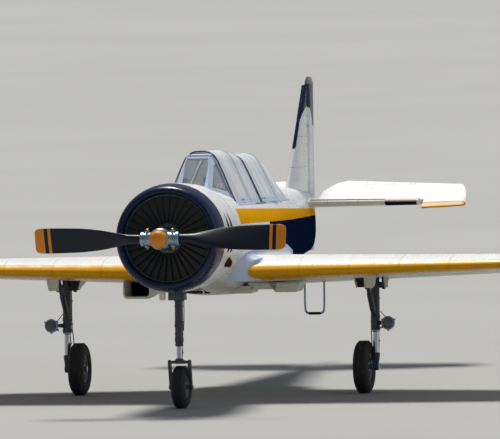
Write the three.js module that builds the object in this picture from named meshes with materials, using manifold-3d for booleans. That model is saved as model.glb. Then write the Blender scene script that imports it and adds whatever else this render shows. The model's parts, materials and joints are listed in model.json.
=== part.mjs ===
// A two-seat radial-engined light trainer with a low wing, on its nose-wheel landing gear.
// Units are millimetres. The airframe is drawn in its own axes: X to the pilot's left, Y aft from the
// tip of the propeller dome, Z up from the thrust line. One group then sets it down as it parks, nose
// slightly up, with its wheels on z = 0 and the middle of its length and span over the origin.

import * as THREE from "three";
import { mergeVertices } from "three/addons/utils/BufferGeometryUtils.js";
import { ConvexGeometry } from "three/addons/geometries/ConvexGeometry.js";
import Module from "manifold-3d";

const wasm = await Module();
wasm.setup();

// Driving dimensions
const LENGTH = 7745;
const SPAN = 9300;
const PARKED_PITCH = THREE.MathUtils.degToRad(2.5);
const HUB_HEIGHT = 1653; // of the dome's tip, above the ground
const DOME_Y = -3879.3; // where the dome's tip stands, so that the length is centred
const TOUCH = 0.4; // left between pieces that bear on each other
const RUNNING = 6; // left round what moves

const WING = {
  noseY: 1840,
  chordRoot: 1997, // at the centreline
  chordTip: 1082,
  sweep: 250, // the leading edge's, from centreline to tip
  datumZ: -436, // flat underside at the nose of the centreline section
  dihedral: THREE.MathUtils.degToRad(2),
  incidence: THREE.MathUtils.degToRad(2),
  thickRoot: 0.145,
  thickTip: 0.09,
  half: SPAN / 2,
  roundFrom: SPAN / 2 - 260,
};
const AILERON = { from: 2720, to: 4300, chordShare: 0.76 };
const FLAP = { from: 680, to: 2660, chordShare: 0.8, plate: 12, recess: 18 };
const COWL = { radius: 515, lipY: 425, wideY: 700, backY: 1359.6, wall: 18 };
const CANOPY = { sillZ: 300, archY: 2030, frontY: 2720, middleY: 3220, rearY: 3950, tailY: 4950 };
const MAIN = { x: 1392.5, y: 2850, tyre: 250, width: 150, legX: 1510 };
const NOSE = { y: 1010, legY: 950, tyre: 200, width: 140 };
const ELEVATOR = { hingeY: 6990, z: 245, up: THREE.MathUtils.degToRad(20) };
const RUDDER = { hingeY: 7090, left: THREE.MathUtils.degToRad(-6.5) };

const paint = (color, roughness, metalness = 0) =>
  new THREE.MeshStandardMaterial({ color, roughness, metalness });
const MATERIAL = {
  white: paint("#e4e6e6", 0.35),
  navy: paint("#141d33", 0.25),
  orange: paint("#e07d14", 0.4),
  blade: paint("#14161c", 0.4),
  frame: paint("#c9d2da", 0.35),
  steel: paint("#8f979d", 0.35, 0.9),
  black: paint("#23252a", 0.55),
  iron: paint("#3b3d40", 0.6, 0.6),
  rubber: paint("#1d1d1e", 0.85),
  glass: paint("#cfdde4", 0.08),
  cabin: paint("#7e8f8c", 0.7),
  leather: paint("#3b3a35", 0.8),
};

// Solids and meshes

const v3 = (x, y, z) => new THREE.Vector3(x, y, z);

function manifoldOf(positions, triVerts) {
  return new wasm.Manifold(
    new wasm.Mesh({ numProp: 3, vertProperties: positions, triVerts }),
  );
}

function solid(geometry) {
  const bare = geometry.index ? geometry.toNonIndexed() : geometry.clone();
  bare.deleteAttribute("normal");
  bare.deleteAttribute("uv");
  const merged = mergeVertices(bare, 1e-3);
  const positions = new Float32Array(merged.attributes.position.array);
  const corners = new Uint32Array(merged.index.array);
  const made = manifoldOf(positions, corners);
  if (made.volume() > 0) return made;
  for (let i = 0; i < corners.length; i += 3) {
    [corners[i + 1], corners[i + 2]] = [corners[i + 2], corners[i + 1]];
  }
  return manifoldOf(positions, corners);
}

function meshOf(name, made, material) {
  const data = made.getMesh();
  const geometry = new THREE.BufferGeometry();
  geometry.setAttribute("position", new THREE.BufferAttribute(data.vertProperties, 3));
  geometry.setIndex(new THREE.BufferAttribute(data.triVerts, 1));
  const mesh = new THREE.Mesh(geometry.toNonIndexed(), material);
  mesh.geometry.computeVertexNormals();
  mesh.name = name;
  return mesh;
}

const join = (...solids) => solids.reduce((whole, next) => whole.add(next));
const without = (whole, ...cuts) => cuts.reduce((left, cut) => left.subtract(cut), whole);

// A closed skin over rings of points, each ring a star shape with as many points as the next.
function loft(rings) {
  const count = rings[0].length;
  const points = rings.flat();
  const faces = [];
  for (let r = 0; r + 1 < rings.length; r++) {
    for (let i = 0; i < count; i++) {
      const a = r * count + i;
      const b = r * count + ((i + 1) % count);
      const [c, d] = [b + count, a + count];
      const short = points[a].distanceTo(points[c]) < points[b].distanceTo(points[d]);
      faces.push(...(short ? [a, b, c, a, c, d] : [a, b, d, b, c, d]));
    }
  }
  const cap = (ring, start, turn) => {
    const middle = points.length;
    points.push(ring.reduce((sum, p) => sum.clone().add(p)).divideScalar(count));
    for (let i = 0; i < count; i++) {
      const pair = [start + i, start + ((i + 1) % count)];
      faces.push(middle, pair[turn], pair[1 - turn]);
    }
  };
  cap(rings[0], 0, 1);
  cap(rings[rings.length - 1], (rings.length - 1) * count, 0);
  const geometry = new THREE.BufferGeometry().setFromPoints(points).setIndex(faces);
  return solid(geometry);
}

function box(x0, x1, y0, y1, z0, z1) {
  const geometry = new THREE.BoxGeometry(x1 - x0, y1 - y0, z1 - z0);
  return solid(geometry.translate((x0 + x1) / 2, (y0 + y1) / 2, (z0 + z1) / 2));
}

// A box whose two x come from a left or right side, in either order.
const boxAcross = (xa, xb, ...rest) => box(Math.min(xa, xb), Math.max(xa, xb), ...rest);

// A round bar between two points, or a cone where the second radius differs.
function rod(from, to, radius, sides = 12, endRadius = radius) {
  const along = to.clone().sub(from);
  const geometry = new THREE.CylinderGeometry(endRadius, radius, along.length(), sides);
  const turn = new THREE.Quaternion().setFromUnitVectors(v3(0, 1, 0), along.clone().normalize());
  geometry.applyQuaternion(turn);
  const middle = from.clone().lerp(to, 0.5);
  return solid(geometry.translate(middle.x, middle.y, middle.z));
}

// A turned piece about the thrust line's direction, from a closed profile of [radius, y].
function turned(profile, segments = 40) {
  const points = profile.map(([radius, y]) => new THREE.Vector2(radius, y));
  const closed = profile[0][0] === 0 ? points : [...points, points[0]];
  return solid(new THREE.LatheGeometry(closed, segments));
}

function bentTube(points, radius, sides = 8, steps = 24) {
  const path = new THREE.CatmullRomCurve3(points, false, "centripetal");
  const section = new THREE.Shape().absarc(0, 0, radius, 0, 2 * Math.PI);
  return solid(
    new THREE.ExtrudeGeometry(section, { extrudePath: path, steps, curveSegments: sides / 2 }),
  );
}

// A hinge: a lug on the fixed piece with a pin of the moving piece through it. The moving piece is cut
// away round the lug and ahead of its own pin, so that it can swing.
function hinge(fixed, moving, at, axis, reach, size) {
  const along = axis.clone().normalize();
  const half = along.clone().multiplyScalar(size.lug / 2);
  const slotHalf = along.clone().multiplyScalar(size.lug / 2 + RUNNING);
  const back = at.clone().add(reach);
  const eye = rod(at.clone().sub(half), at.clone().add(half), size.eye, 8);
  const root = rod(back.clone().sub(half), back.clone().add(half), size.eye, 4);
  const arm = solid(new ConvexGeometry([...cornersOf(eye), ...cornersOf(root)]));
  const bore = rod(at.clone().sub(slotHalf), at.clone().add(slotHalf), size.pin * 1.12, 8);
  const across = along.clone().cross(reach).normalize().multiplyScalar(200);
  const ahead = reach.clone().normalize().multiplyScalar(300);
  const open = [1, -1].flatMap((a) => [1, -1].flatMap((b) => [0, 1].map((c) =>
    at.clone().addScaledVector(slotHalf, a).addScaledVector(across, b).addScaledVector(ahead, c))));
  const clear = rod(at.clone().sub(slotHalf), at.clone().add(slotHalf), size.eye + RUNNING, 8);
  const slot = join(clear, solid(new ConvexGeometry(open)));
  const over = along.clone().multiplyScalar(size.lug / 2 + 3 * RUNNING);
  const pin = rod(at.clone().sub(over), at.clone().add(over), size.pin, 8);
  return [fixed.add(arm).subtract(bore), moving.subtract(slot).add(pin)];
}

function cornersOf(made) {
  const { vertProperties } = made.getMesh();
  const corners = [];
  for (let i = 0; i < vertProperties.length; i += 3) {
    corners.push(v3(...vertProperties.subarray(i, i + 3)));
  }
  return corners;
}

// Fuselage: columns are station Y, half width, top, bottom, squareness of the lower half
const FUSELAGE = [
  [1360, 488, 486, -500, 2.0],
  [1700, 456, 462, -535, 2.4],
  [2300, 432, 466, -572, 2.8],
  [3300, 426, 468, -580, 2.8],
  [4400, 382, 458, -496, 2.6],
  [5100, 306, 438, -420, 2.4],
  [5900, 212, 408, -338, 2.3],
  [6600, 132, 374, -272, 2.2],
  [7030, 84, 348, -232, 2.2],
];
const WALL = 40;
const TAIL_WALL = 20;
const FLOOR_Z = -330;
const SPLIT_Y = 4400;
const UPPER_SQUARENESS = 2.2;

function fuselageRing([y, width, top, bottom, lower], grow = 0, count = 28) {
  return Array.from({ length: count }, (_, i) => {
    const angle = (2 * Math.PI * i) / count;
    const [c, s] = [Math.cos(angle), Math.sin(angle)];
    const power = 2 / (s >= 0 ? UPPER_SQUARENESS : lower);
    const height = s >= 0 ? top + grow : -bottom + grow;
    const x = (width + grow) * Math.sign(c) * Math.abs(c) ** power;
    return v3(x, y, height * Math.sign(s) * Math.abs(s) ** power);
  });
}

function fuselageBetween(fromY, toY, grow = 0) {
  const at = (y) => {
    const next = Math.max(1, FUSELAGE.findIndex(([stationY]) => stationY >= y));
    const [a, b] = [FUSELAGE[next - 1], FUSELAGE[next]];
    const share = (y - a[0]) / (b[0] - a[0]);
    return a.map((value, i) => value + (b[i] - value) * share);
  };
  const inside = FUSELAGE.filter(([y]) => y > fromY && y < toY);
  return loft([at(fromY), ...inside, at(toY)].map((row) => fuselageRing(row, grow)));
}

const fuselageEnvelope = fuselageBetween(1360, 7030, TOUCH);

function fuselageCockpit() {
  const shell = fuselageBetween(1360, SPLIT_Y);
  const cabin = fuselageBetween(1650, SPLIT_Y - WALL, -WALL).intersect(
    box(-500, 500, 1600, 4500, FLOOR_Z, 600),
  );
  const hatch = box(-600, 600, CANOPY.archY - 30, 4340, CANOPY.sillZ, 700);
  return without(shell, cabin, hatch);
}

function fuselageTail() {
  const shell = fuselageBetween(SPLIT_Y + TOUCH, 7030);
  const hollow = fuselageBetween(SPLIT_Y, 6700, -TAIL_WALL);
  const tubeBore = rod(
    v3(-200, ELEVATOR.hingeY, ELEVATOR.z),
    v3(200, ELEVATOR.hingeY, ELEVATOR.z),
    TORQUE_TUBE * 1.06,
  );
  return without(shell, hollow, tubeBore);
}
const TORQUE_TUBE = 16;

// Wing: columns are chord share, upper and lower height as shares of the greatest thickness
const AEROFOIL = [
  [0, 0.3, 0.3],
  [0.015, 0.49, 0.16],
  [0.05, 0.68, 0.07],
  [0.12, 0.86, 0.02],
  [0.3, 1, 0],
  [0.5, 0.89, 0],
  [0.75, 0.55, 0],
  [1, 0.13, 0],
];

function wingAt(x) {
  const share = x / WING.half;
  const past = Math.max(0, (x - WING.roundFrom) / (WING.half - WING.roundFrom));
  const round = Math.sqrt(Math.max(0.02, 1 - past * past));
  const chord = WING.chordRoot + (WING.chordTip - WING.chordRoot) * share;
  const shrink = 0.45 + 0.55 * round;
  return {
    x,
    nose: WING.noseY + WING.sweep * share + (chord * (1 - shrink)) / 2,
    chord: chord * shrink,
    thick: (WING.thickRoot + (WING.thickTip - WING.thickRoot) * share) * chord * round,
    datum: WING.datumZ + Math.tan(WING.dihedral) * Math.max(0, x - 430) +
      0.3 * WING.thickTip * chord * (1 - round),
  };
}

// A point of the wing at a chord share and a height over the flat underside, in millimetres.
function wingPoint(at, share, height) {
  const drop = share * at.chord * Math.sin(WING.incidence);
  return v3(at.x, at.nose + share * at.chord * Math.cos(WING.incidence), at.datum - drop + height);
}

function aerofoilHeight(share, column) {
  const next = Math.max(1, AEROFOIL.findIndex(([s]) => s >= share));
  const [a, b] = [AEROFOIL[next - 1], AEROFOIL[next]];
  return a[column] + ((b[column] - a[column]) * (share - a[0])) / (b[0] - a[0]);
}

// One ring of the wing from chord share a to b. The gap trims the cut ends, grow swells the skin.
function wingRing(x, from, to, grow = 0) {
  const at = wingAt(x);
  const shares = [from, ...AEROFOIL.map(([s]) => s).filter((s) => s > from && s < to), to];
  const upper = shares.map((s) => wingPoint(at, s, aerofoilHeight(s, 1) * at.thick + grow));
  const lower = shares.map((s) => wingPoint(at, s, aerofoilHeight(s, 2) * at.thick - grow));
  const open = from === 0 && grow === 0 ? 1 : 0;
  return [...upper.reverse(), ...lower.slice(open)];
}

const WING_STATIONS = [200, 700, 1700, 2700, 3600, WING.roundFrom, 4510, 4590, 4636, 4650];

function wingLoft(from, to, grow = 0) {
  return loft(WING_STATIONS.map((x) => wingRing(x, from, to, grow)));
}

// The wing's hinge lines, as two ends, in airframe axes.
function hingeLine(spec, height) {
  return [spec.from, spec.to].map((x) => {
    const at = wingAt(x);
    const middle = (aerofoilHeight(spec.chordShare, 1) * at.thick) / 2;
    return wingPoint(at, spec.chordShare, height ?? middle);
  });
}

function arcRing(centre, radius, tail, segments = 6) {
  const ring = [];
  const slope = Math.atan2(tail.z - centre.z, tail.y - centre.y);
  for (let i = 0; i <= segments; i++) {
    const angle = slope + Math.PI / 2 + (Math.PI * i) / segments;
    const [c, s] = [Math.cos(angle), Math.sin(angle)];
    ring.push(v3(centre.x, centre.y + radius * c, centre.z + radius * s));
  }
  return ring;
}

function aileronSolid() {
  const ring = (x) => {
    const at = wingAt(x);
    const share = AILERON.chordShare;
    const thick = aerofoilHeight(share, 1) * at.thick;
    const centre = wingPoint(at, share, thick / 2);
    const tail = wingPoint(at, 1, aerofoilHeight(1, 1) * at.thick * 0.5);
    const edge = aerofoilHeight(1, 1) * at.thick * 0.5;
    return [
      ...arcRing(centre, thick / 2, tail),
      tail.clone().add(v3(0, 0, -edge)),
      tail.clone().add(v3(0, 0, edge)),
    ];
  };
  return loft([ring(AILERON.from + RUNNING), ring(AILERON.to - RUNNING)]);
}

function aileronBay() {
  const ring = (x) => {
    const at = wingAt(x);
    const thick = aerofoilHeight(AILERON.chordShare, 1) * at.thick;
    const start = wingPoint(at, AILERON.chordShare, thick / 2);
    const y = start.y - thick / 2 - RUNNING;
    return [v3(x, y, start.z - 200), v3(x, 4400, start.z - 200), v3(x, 4400, start.z + 200), v3(x, y, start.z + 200)];
  };
  return loft([ring(AILERON.from), ring(AILERON.to)]);
}

function flapRing(x, front, back, low, high) {
  const at = wingAt(x);
  const a = wingPoint(at, FLAP.chordShare, 0);
  const b = wingPoint(at, 1, 0);
  const slope = (b.z - a.z) / (b.y - a.y);
  const point = (y, height) => v3(x, y, a.z + slope * (y - a.y) + height);
  return [point(a.y + front, low), point(b.y + back, low), point(b.y + back, high), point(a.y + front, high)];
}

function flapSolid() {
  const radius = FLAP.plate / 2;
  const ring = (x) => {
    const at = wingAt(x);
    const centre = wingPoint(at, FLAP.chordShare, radius);
    const tail = wingPoint(at, 1, radius);
    return [
      ...arcRing(centre, radius, tail, 4),
      tail.clone().add(v3(0, 0, -radius)),
      tail.clone().add(v3(0, 0, radius)),
    ];
  };
  return loft([ring(FLAP.from + RUNNING), ring(FLAP.to - RUNNING)]);
}

function flapBay() {
  const front = -FLAP.plate / 2 - RUNNING;
  return loft([FLAP.from, FLAP.to].map((x) => flapRing(x, front, 80, -60, FLAP.recess)));
}

function wingSide() {
  const whole = join(wingLoft(0, 1), rootFillet());
  const opened = without(whole, flapBay(), aileronBay(), fuselageEnvelope);
  const lugs = { eye: 14, pin: 7, lug: 16 };
  const small = { eye: 5.5, pin: 2.6, lug: 16 };
  let [wing, aileron, flap] = [opened, aileronSolid(), flapSolid()];
  const [a, b] = hingeLine(AILERON);
  for (const share of [0.15, 0.85]) {
    const at = a.clone().lerp(b, share);
    [wing, aileron] = hinge(wing, aileron, at, b.clone().sub(a), v3(0, -75, 0), lugs);
  }
  const [c, d] = hingeLine(FLAP, FLAP.plate / 2);
  for (const share of [0.12, 0.88]) {
    const at = c.clone().lerp(d, share);
    [wing, flap] = hinge(wing, flap, at, d.clone().sub(c), v3(0, -30, 3), small);
  }
  return { wing, aileron, flap };
}

// The fairing that fills the corner between the wing's upper side and the fuselage. Columns are
// station Y, width out from the fuselage's side, top and foot.
const FILLET = [
  [1440, 30, -215, -240],
  [1550, 56, -182, -330],
  [1650, 74, -165, -390],
  [1850, 108, -150, -400],
  [2050, 150, -146, -400],
  [2300, 130, -130, -400],
  [3000, 165, -95, -400],
  [3600, 235, -95, -400],
  [3900, 250, -110, -400],
  [4250, 70, -180, -400],
];
const FILLET_INNER = 300; // inside the fuselage, which cuts it off
const FUSELAGE_SIDE = 400;

function rootFillet() {
  const steps = 6;
  return loft(FILLET.map(([y, width, top, foot]) => {
    const outer = FUSELAGE_SIDE + width;
    const points = [v3(FILLET_INNER, y, foot), v3(outer, y, foot)];
    for (let i = 0; i <= steps; i++) {
      const angle = (Math.PI / 2) * (i / steps);
      const z = top - (top - foot) * 0.75 * Math.cos(angle);
      points.push(v3(outer - width * Math.sin(angle), y, z));
    }
    return [...points, v3(FILLET_INNER, y, top)];
  }));
}

// Propeller: columns are radius, chord, thickness, blade angle in degrees
const BLADE = [
  [110, 92, 90, 52],
  [190, 92, 88, 48],
  [300, 104, 78, 40],
  [420, 158, 52, 34],
  [600, 222, 36, 28],
  [800, 248, 26, 23],
  [1000, 250, 18, 19],
  [1130, 246, 13, 17],
  [1180, 226, 11, 16.5],
  [1200, 176, 8, 16],
];
const PROPELLER = {
  y: 170, // the blades' plane
  stopped: -0.45, // how far it stands turned from level, in degrees
  domeBack: 95,
  barrelBack: 262,
  socket: 50, // the blade roots' bore
  clampOuter: 185,
};
const ENGINE_NOSE_Y = 330;

function bladeSolid(direction) {
  const ring = ([radius, chord, thick, degrees]) => {
    const angle = THREE.MathUtils.degToRad(degrees) * direction;
    return Array.from({ length: 12 }, (_, i) => {
      const turn = (2 * Math.PI * i) / 12;
      const [u, w] = [(chord / 2) * Math.cos(turn), (thick / 2) * Math.sin(turn)];
      const z = u * Math.cos(angle) - w * Math.sin(angle);
      const y = u * Math.sin(angle) + w * Math.cos(angle);
      return v3(radius * direction, PROPELLER.y + y, z);
    });
  };
  return loft(BLADE.map(ring));
}

function propellerParts() {
  const { y, domeBack, barrelBack, socket, clampOuter } = PROPELLER;
  const dome = turned([[0, 0], [38, 4], [62, 16], [76, 36], [82, 58], [82, domeBack], [0, domeBack]], 24);
  const shaftEnd = ENGINE_NOSE_Y - TOUCH;
  const barrel = turned([
    [0, domeBack + TOUCH], [92, domeBack + TOUCH], [100, 118], [100, 238], [80, barrelBack],
    [80, barrelBack + 28], [38, barrelBack + 28], [38, shaftEnd], [0, shaftEnd],
  ], 24);
  const clamp = (d) => join(
    rod(v3(d * 60, y, 0), v3(d * clampOuter, y, 0), 62, 16),
    rod(v3(d * 153, y, 0), v3(d * 178, y, 0), 68, 16),
    boxAcross(d * 104, d * 146, y - 26, y + 26, -78, 78),
  );
  const sockets = [1, -1].map((d) => rod(v3(d * (110 - TOUCH), y, 0), v3(d * 300, y, 0), socket, 12));
  const hub = without(join(barrel, clamp(1), clamp(-1)), ...sockets);
  const asStopped = (made) => made.rotate([0, PROPELLER.stopped, 0]);
  return { dome, hub: asStopped(hub), blades: [1, -1].map((d) => asStopped(bladeSolid(d))) };
}

// Engine and cowling

function cowlRings() {
  const { radius, lipY, wideY, backY, wall } = COWL;
  const ring = turned([
    [412, lipY + 95], [416, lipY + 40], [432, lipY + 8], [452, lipY], [476, lipY + 14],
    [498, lipY + 65], [511, lipY + 160], [radius, wideY], [radius - wall, wideY], [476, lipY + 95],
  ]);
  const shell = turned([
    [radius, wideY + TOUCH], [radius - 2, 1000], [radius - 14, backY],
    [radius - 14 - wall, backY], [radius - 2 - wall, 1000], [radius - wall, wideY + TOUCH],
  ]);
  const slots = [];
  for (const side of [1, -1]) {
    for (const y of [835, 975]) {
      slots.push(boxAcross(side * 420, side * 560, y, y + 42, -150, 225));
    }
  }
  const seam = 30;
  const panels = without(shell, ...slots);
  return {
    ring,
    upper: panels.intersect(box(-600, 600, 600, 1500, seam + TOUCH, 700)),
    lower: panels.intersect(box(-600, 600, 600, 1500, -700, seam)),
  };
}

// The winter shutters in the nose ring: one pleated disc of radial vanes, as they stand when closed
function shutters() {
  const vanes = 32;
  const [inner, outer, y, pleat, thick] = [131, 410, 500, 16, 5];
  const rings = [[inner, 0], [outer, 0], [outer, thick], [inner, thick]];
  const points = [];
  const faces = [];
  const count = vanes * 2;
  for (let i = 0; i < count; i++) {
    const angle = (2 * Math.PI * i) / count;
    for (const [radius, back] of rings) {
      const depth = y + back + (i % 2 ? pleat : 0);
      points.push(v3(radius * Math.sin(angle), depth, radius * Math.cos(angle)));
    }
  }
  for (let i = 0; i < count; i++) {
    const next = ((i + 1) % count) * 4;
    for (let k = 0; k < 4; k++) {
      const [a, b] = [i * 4 + k, i * 4 + ((k + 1) % 4)];
      const [c, d] = [next + ((k + 1) % 4), next + k];
      faces.push(a, b, c, a, c, d);
    }
  }
  return solid(new THREE.BufferGeometry().setFromPoints(points).setIndex(faces));
}

function engineBlock(grow = 0) {
  const profile = [
    [0, ENGINE_NOSE_Y], [64, ENGINE_NOSE_Y], [92, 356], [116, 440], [128, 520], [130, 600],
    [440 + grow, 640 - grow], [440 + grow, 960 + grow],
    [300 + grow, 1000 + grow], [300 + grow, 1359], [0, 1359],
  ];
  return turned(profile, 24);
}

function exhaust(side) {
  const mouth = v3(side * 455, 1130, -250);
  const root = v3(side * 330, 960, -200);
  const pipe = rod(root, mouth, 40, 16);
  const bore = rod(root.clone().lerp(mouth, 0.5), mouth.clone().lerp(root, -0.1), 34, 16);
  return without(pipe, bore, engineBlock(TOUCH));
}

// The hole that the lower cowl panel leaves round an exhaust
const exhaustHole = (side) => solid(new ConvexGeometry([[925, -222], [1140, -248]].flatMap(([y, z]) =>
  cornersOf(rod(v3(side * 330, y, z), v3(side * 600, y, z), 55, 16)))));

// Canopy: half of the arch's outline as [x, z], from the sill up. Hoods ride outside the fixed parts.
const ARCH = [
  [345, 0],
  [262, 195],
  [190, 362],
  [150, 440],
  [104, 484],
  [52, 503],
];

function archRing(y, inset, rise = 0) {
  const shrink = (x) => x - inset * 0.93;
  const half = ARCH.map(([x, z]) => [shrink(x), CANOPY.sillZ + TOUCH + (z * (503 + rise - inset)) / 503]);
  half[0][1] = CANOPY.sillZ + TOUCH;
  const top = [0, CANOPY.sillZ + TOUCH + 506 + rise - inset];
  const left = half.map(([x, z]) => v3(x, y, z));
  const right = half.map(([x, z]) => v3(-x, y, z)).reverse();
  return [...left, v3(top[0], y, top[1]), ...right];
}

function hoodShell(y0, y1, outer, inner, rise0, rise1 = rise0) {
  const skin = (inset, past) => loft([archRing(y0 - past, inset, rise0), archRing(y1 + past, inset, rise1)]);
  const cut = skin(inner, 5);
  const foot = box(-600, 600, y0 - 9, y1 + 9, 200, CANOPY.sillZ + TOUCH + 0.5);
  return without(skin(outer, 0), cut, foot.intersect(cut));
}

function hoodPair(y0, y1, inset, rise, bow = 42) {
  const shell = hoodShell(y0, y1, inset, inset + 12, rise);
  const rail = CANOPY.sillZ + 52;
  const window = box(-600, 600, y0 + bow, y1 - bow, rail, 1000);
  const pane = box(-600, 600, y0 + bow + TOUCH, y1 - bow - TOUCH, rail + TOUCH, 1000);
  return {
    frame: shell.subtract(window),
    glass: hoodShell(y0, y1, inset + 3, inset + 8, rise).intersect(pane),
  };
}

function windscreenBody(inset) {
  const arch = archRing(CANOPY.archY - TOUCH, inset + 18);
  const lift = inset;
  const front = [
    v3(165 - lift, 1560 + lift * 1.5, 330), v3(-165 + lift, 1560 + lift * 1.5, 330),
    v3(150 - lift, 1615 + lift * 1.5, 430), v3(-150 + lift, 1615 + lift * 1.5, 430),
    v3(104 - lift, 1925 + lift, 764 - lift), v3(-104 + lift, 1925 + lift, 764 - lift),
    v3(300 - lift, 1760 + lift, 305), v3(-300 + lift, 1760 + lift, 305),
  ];
  return solid(new ConvexGeometry([...arch, ...front]));
}

function windscreenPair() {
  const deck = fuselageBetween(1400, 4400, TOUCH);
  const behind = box(-600, 600, CANOPY.archY - TOUCH - 0.01, 2600, 0, 1000);
  const shellOf = (a, b) => {
    const inner = join(windscreenBody(b), box(-230, 230, 2000, 2100, 310, 500));
    return without(windscreenBody(a), inner, deck, behind);
  };
  const sideWindow = (grow) => {
    const outline = [
      [1672 + 2 * grow, 300], [1690 + 2 * grow, 446 - grow], [1958 + grow, 722 - 2 * grow],
      [1984 - grow, 722 - 2 * grow], [1984 - grow, 300],
    ];
    const sideShape = new THREE.Shape(outline.map(([y, z]) => new THREE.Vector2(y, z)));
    const cut = new THREE.ExtrudeGeometry(sideShape, { depth: 800, bevelEnabled: false });
    cut.applyMatrix4(new THREE.Matrix4().makeBasis(v3(0, 1, 0), v3(0, 0, 1), v3(1, 0, 0)));
    const both = solid(cut.translate(-400, 0, 0));
    return without(both, box(-148 - grow, 148 + grow, 1400, 2100, 0, 1000));
  };
  const centre = (grow) => box(-112 + grow, 112 - grow, 1400, 1900 - grow, 465 + grow, 1000);
  const frame = without(shellOf(0, 12), sideWindow(0).subtract(deckLip(26)), centre(0));
  const pane = shellOf(3, 8);
  const sides = pane.intersect(sideWindow(TOUCH).subtract(deckLip(26 + TOUCH)));
  return {
    frame,
    centre: pane.intersect(centre(TOUCH)),
    left: sides.intersect(box(0, 600, 1400, 2100, 0, 1000)),
    right: sides.intersect(box(-600, 0, 1400, 2100, 0, 1000)),
  };
}

function deckLip(height) {
  return fuselageBetween(1400, 2200, height);
}

function rearFairing() {
  const rings = (inset) => [
    archRing(CANOPY.rearY + 10, inset + 18, -62),
    archRing(4330, inset + 18, -92),
    archRing(4650, inset + 18, -210),
    archRing(CANOPY.tailY, inset + 18, -345),
  ];
  const deck = fuselageBetween(3800, 5400, TOUCH);
  const shellOf = (a, b) => {
    const inner = loft(rings(b)).intersect(box(-600, 600, 3900, CANOPY.tailY - 30, 0, 1000));
    const start = loft([archRing(CANOPY.rearY, b + 18, -62), archRing(CANOPY.rearY + 20, b + 18, -62)]);
    return without(loft(rings(a)), inner, start, trimmedDeck(deck));
  };
  const window = (grow) =>
    box(-600, 600, CANOPY.rearY + 52 + grow, 4640 - grow, CANOPY.sillZ + 60 + grow, 1000);
  return {
    frame: shellOf(0, 12).subtract(window(0)),
    glass: shellOf(3, 8).intersect(window(TOUCH)),
  };
}

// The deck with the cockpit's hatch already cut out of it
function trimmedDeck(deck) {
  return deck.subtract(box(-700, 700, CANOPY.archY - 30 + TOUCH, 4340 - TOUCH, CANOPY.sillZ + TOUCH, 900));
}

// Cabin fittings

const SEAT = { width: 430, depth: 400, bottom: -110, pan: -60, side: 60, top: 430, cushion: 45 };

// The front face of a seat's back at a height, aft of the seat's station
const backFace = (z) => -8 + (98 * (z - SEAT.bottom)) / (SEAT.top - SEAT.bottom);

function seat(y) {
  const { width, depth, bottom, top } = SEAT;
  const half = width / 2;
  const pan = box(-half, half, y - depth, y, bottom, SEAT.pan);
  const wings = [1, -1].map((d) => boxAcross(d * (half - 25), d * half, y - depth, y, bottom, SEAT.side));
  const upper = half - 45;
  const back = solid(
    new ConvexGeometry([
      v3(-half, y - 8, bottom), v3(half, y - 8, bottom), v3(-half, y + 50, bottom), v3(half, y + 50, bottom),
      v3(-upper, y + 90, top), v3(upper, y + 90, top), v3(-upper, y + 130, top), v3(upper, y + 130, top),
    ]),
  );
  const legs = box(-180, 180, y - 330, y - 40, FLOOR_Z + TOUCH, bottom + 5);
  return join(pan, ...wings, back, legs);
}

// The seat's padding: a pad on the pan and one against the back
function cushion(y) {
  const { depth, pan, top, cushion: thick } = SEAT;
  const half = SEAT.width / 2 - 25 - TOUCH;
  const low = pan + TOUCH;
  const pad = box(-half, half, y - depth + 5, y + backFace(low) - TOUCH, low, low + thick + 15);
  const faceAt = (z, out) => y + backFace(z) - TOUCH - out;
  const [foot, head] = [low + thick, top - 25];
  const corners = [[foot, half], [head, half - 40]].flatMap(([z, x]) =>
    [x, -x].flatMap((side) => [v3(side, faceAt(z, 0), z), v3(side, faceAt(z, thick), z)]));
  return join(pad, solid(new ConvexGeometry(corners)));
}

function panel(y, top) {
  const plate = box(-250, 250, y, y + 45, -60, top - 30);
  const crown = box(-215, 215, y, y + 45, top - 31, top);
  const post = box(-40, 40, y + 4, y + 41, FLOOR_Z + TOUCH, -59);
  return join(plate, crown, post);
}

function stick(y) {
  const shaft = rod(v3(0, y, FLOOR_Z + 2), v3(0, y - 30, 20), 14);
  return join(shaft, rod(v3(0, y - 30, 10), v3(0, y - 36, 120), 22));
}

// Tail surfaces

function symmetricRing(place, nose, tail, thick) {
  const shares = [[0, 0], [0.03, 0.42], [0.12, 0.82], [0.32, 1], [0.65, 0.7], [1, 0.32]];
  const at = ([share, half], side) => place(nose + (tail - nose) * share, (side * half * thick) / 2);
  return [...shares.map((row) => at(row, 1)).reverse(), ...shares.slice(1).map((row) => at(row, -1))];
}

function stabilizer(side) {
  const ring = (x, nose, thick) =>
    symmetricRing((y, z) => v3(side * x, y, ELEVATOR.z + z), nose, 6938, thick);
  const tip = 1178;
  const whole = loft([ring(20, 6490, 92), ring(tip, 6700, 66)]);
  return whole.subtract(fuselageEnvelope);
}

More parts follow.
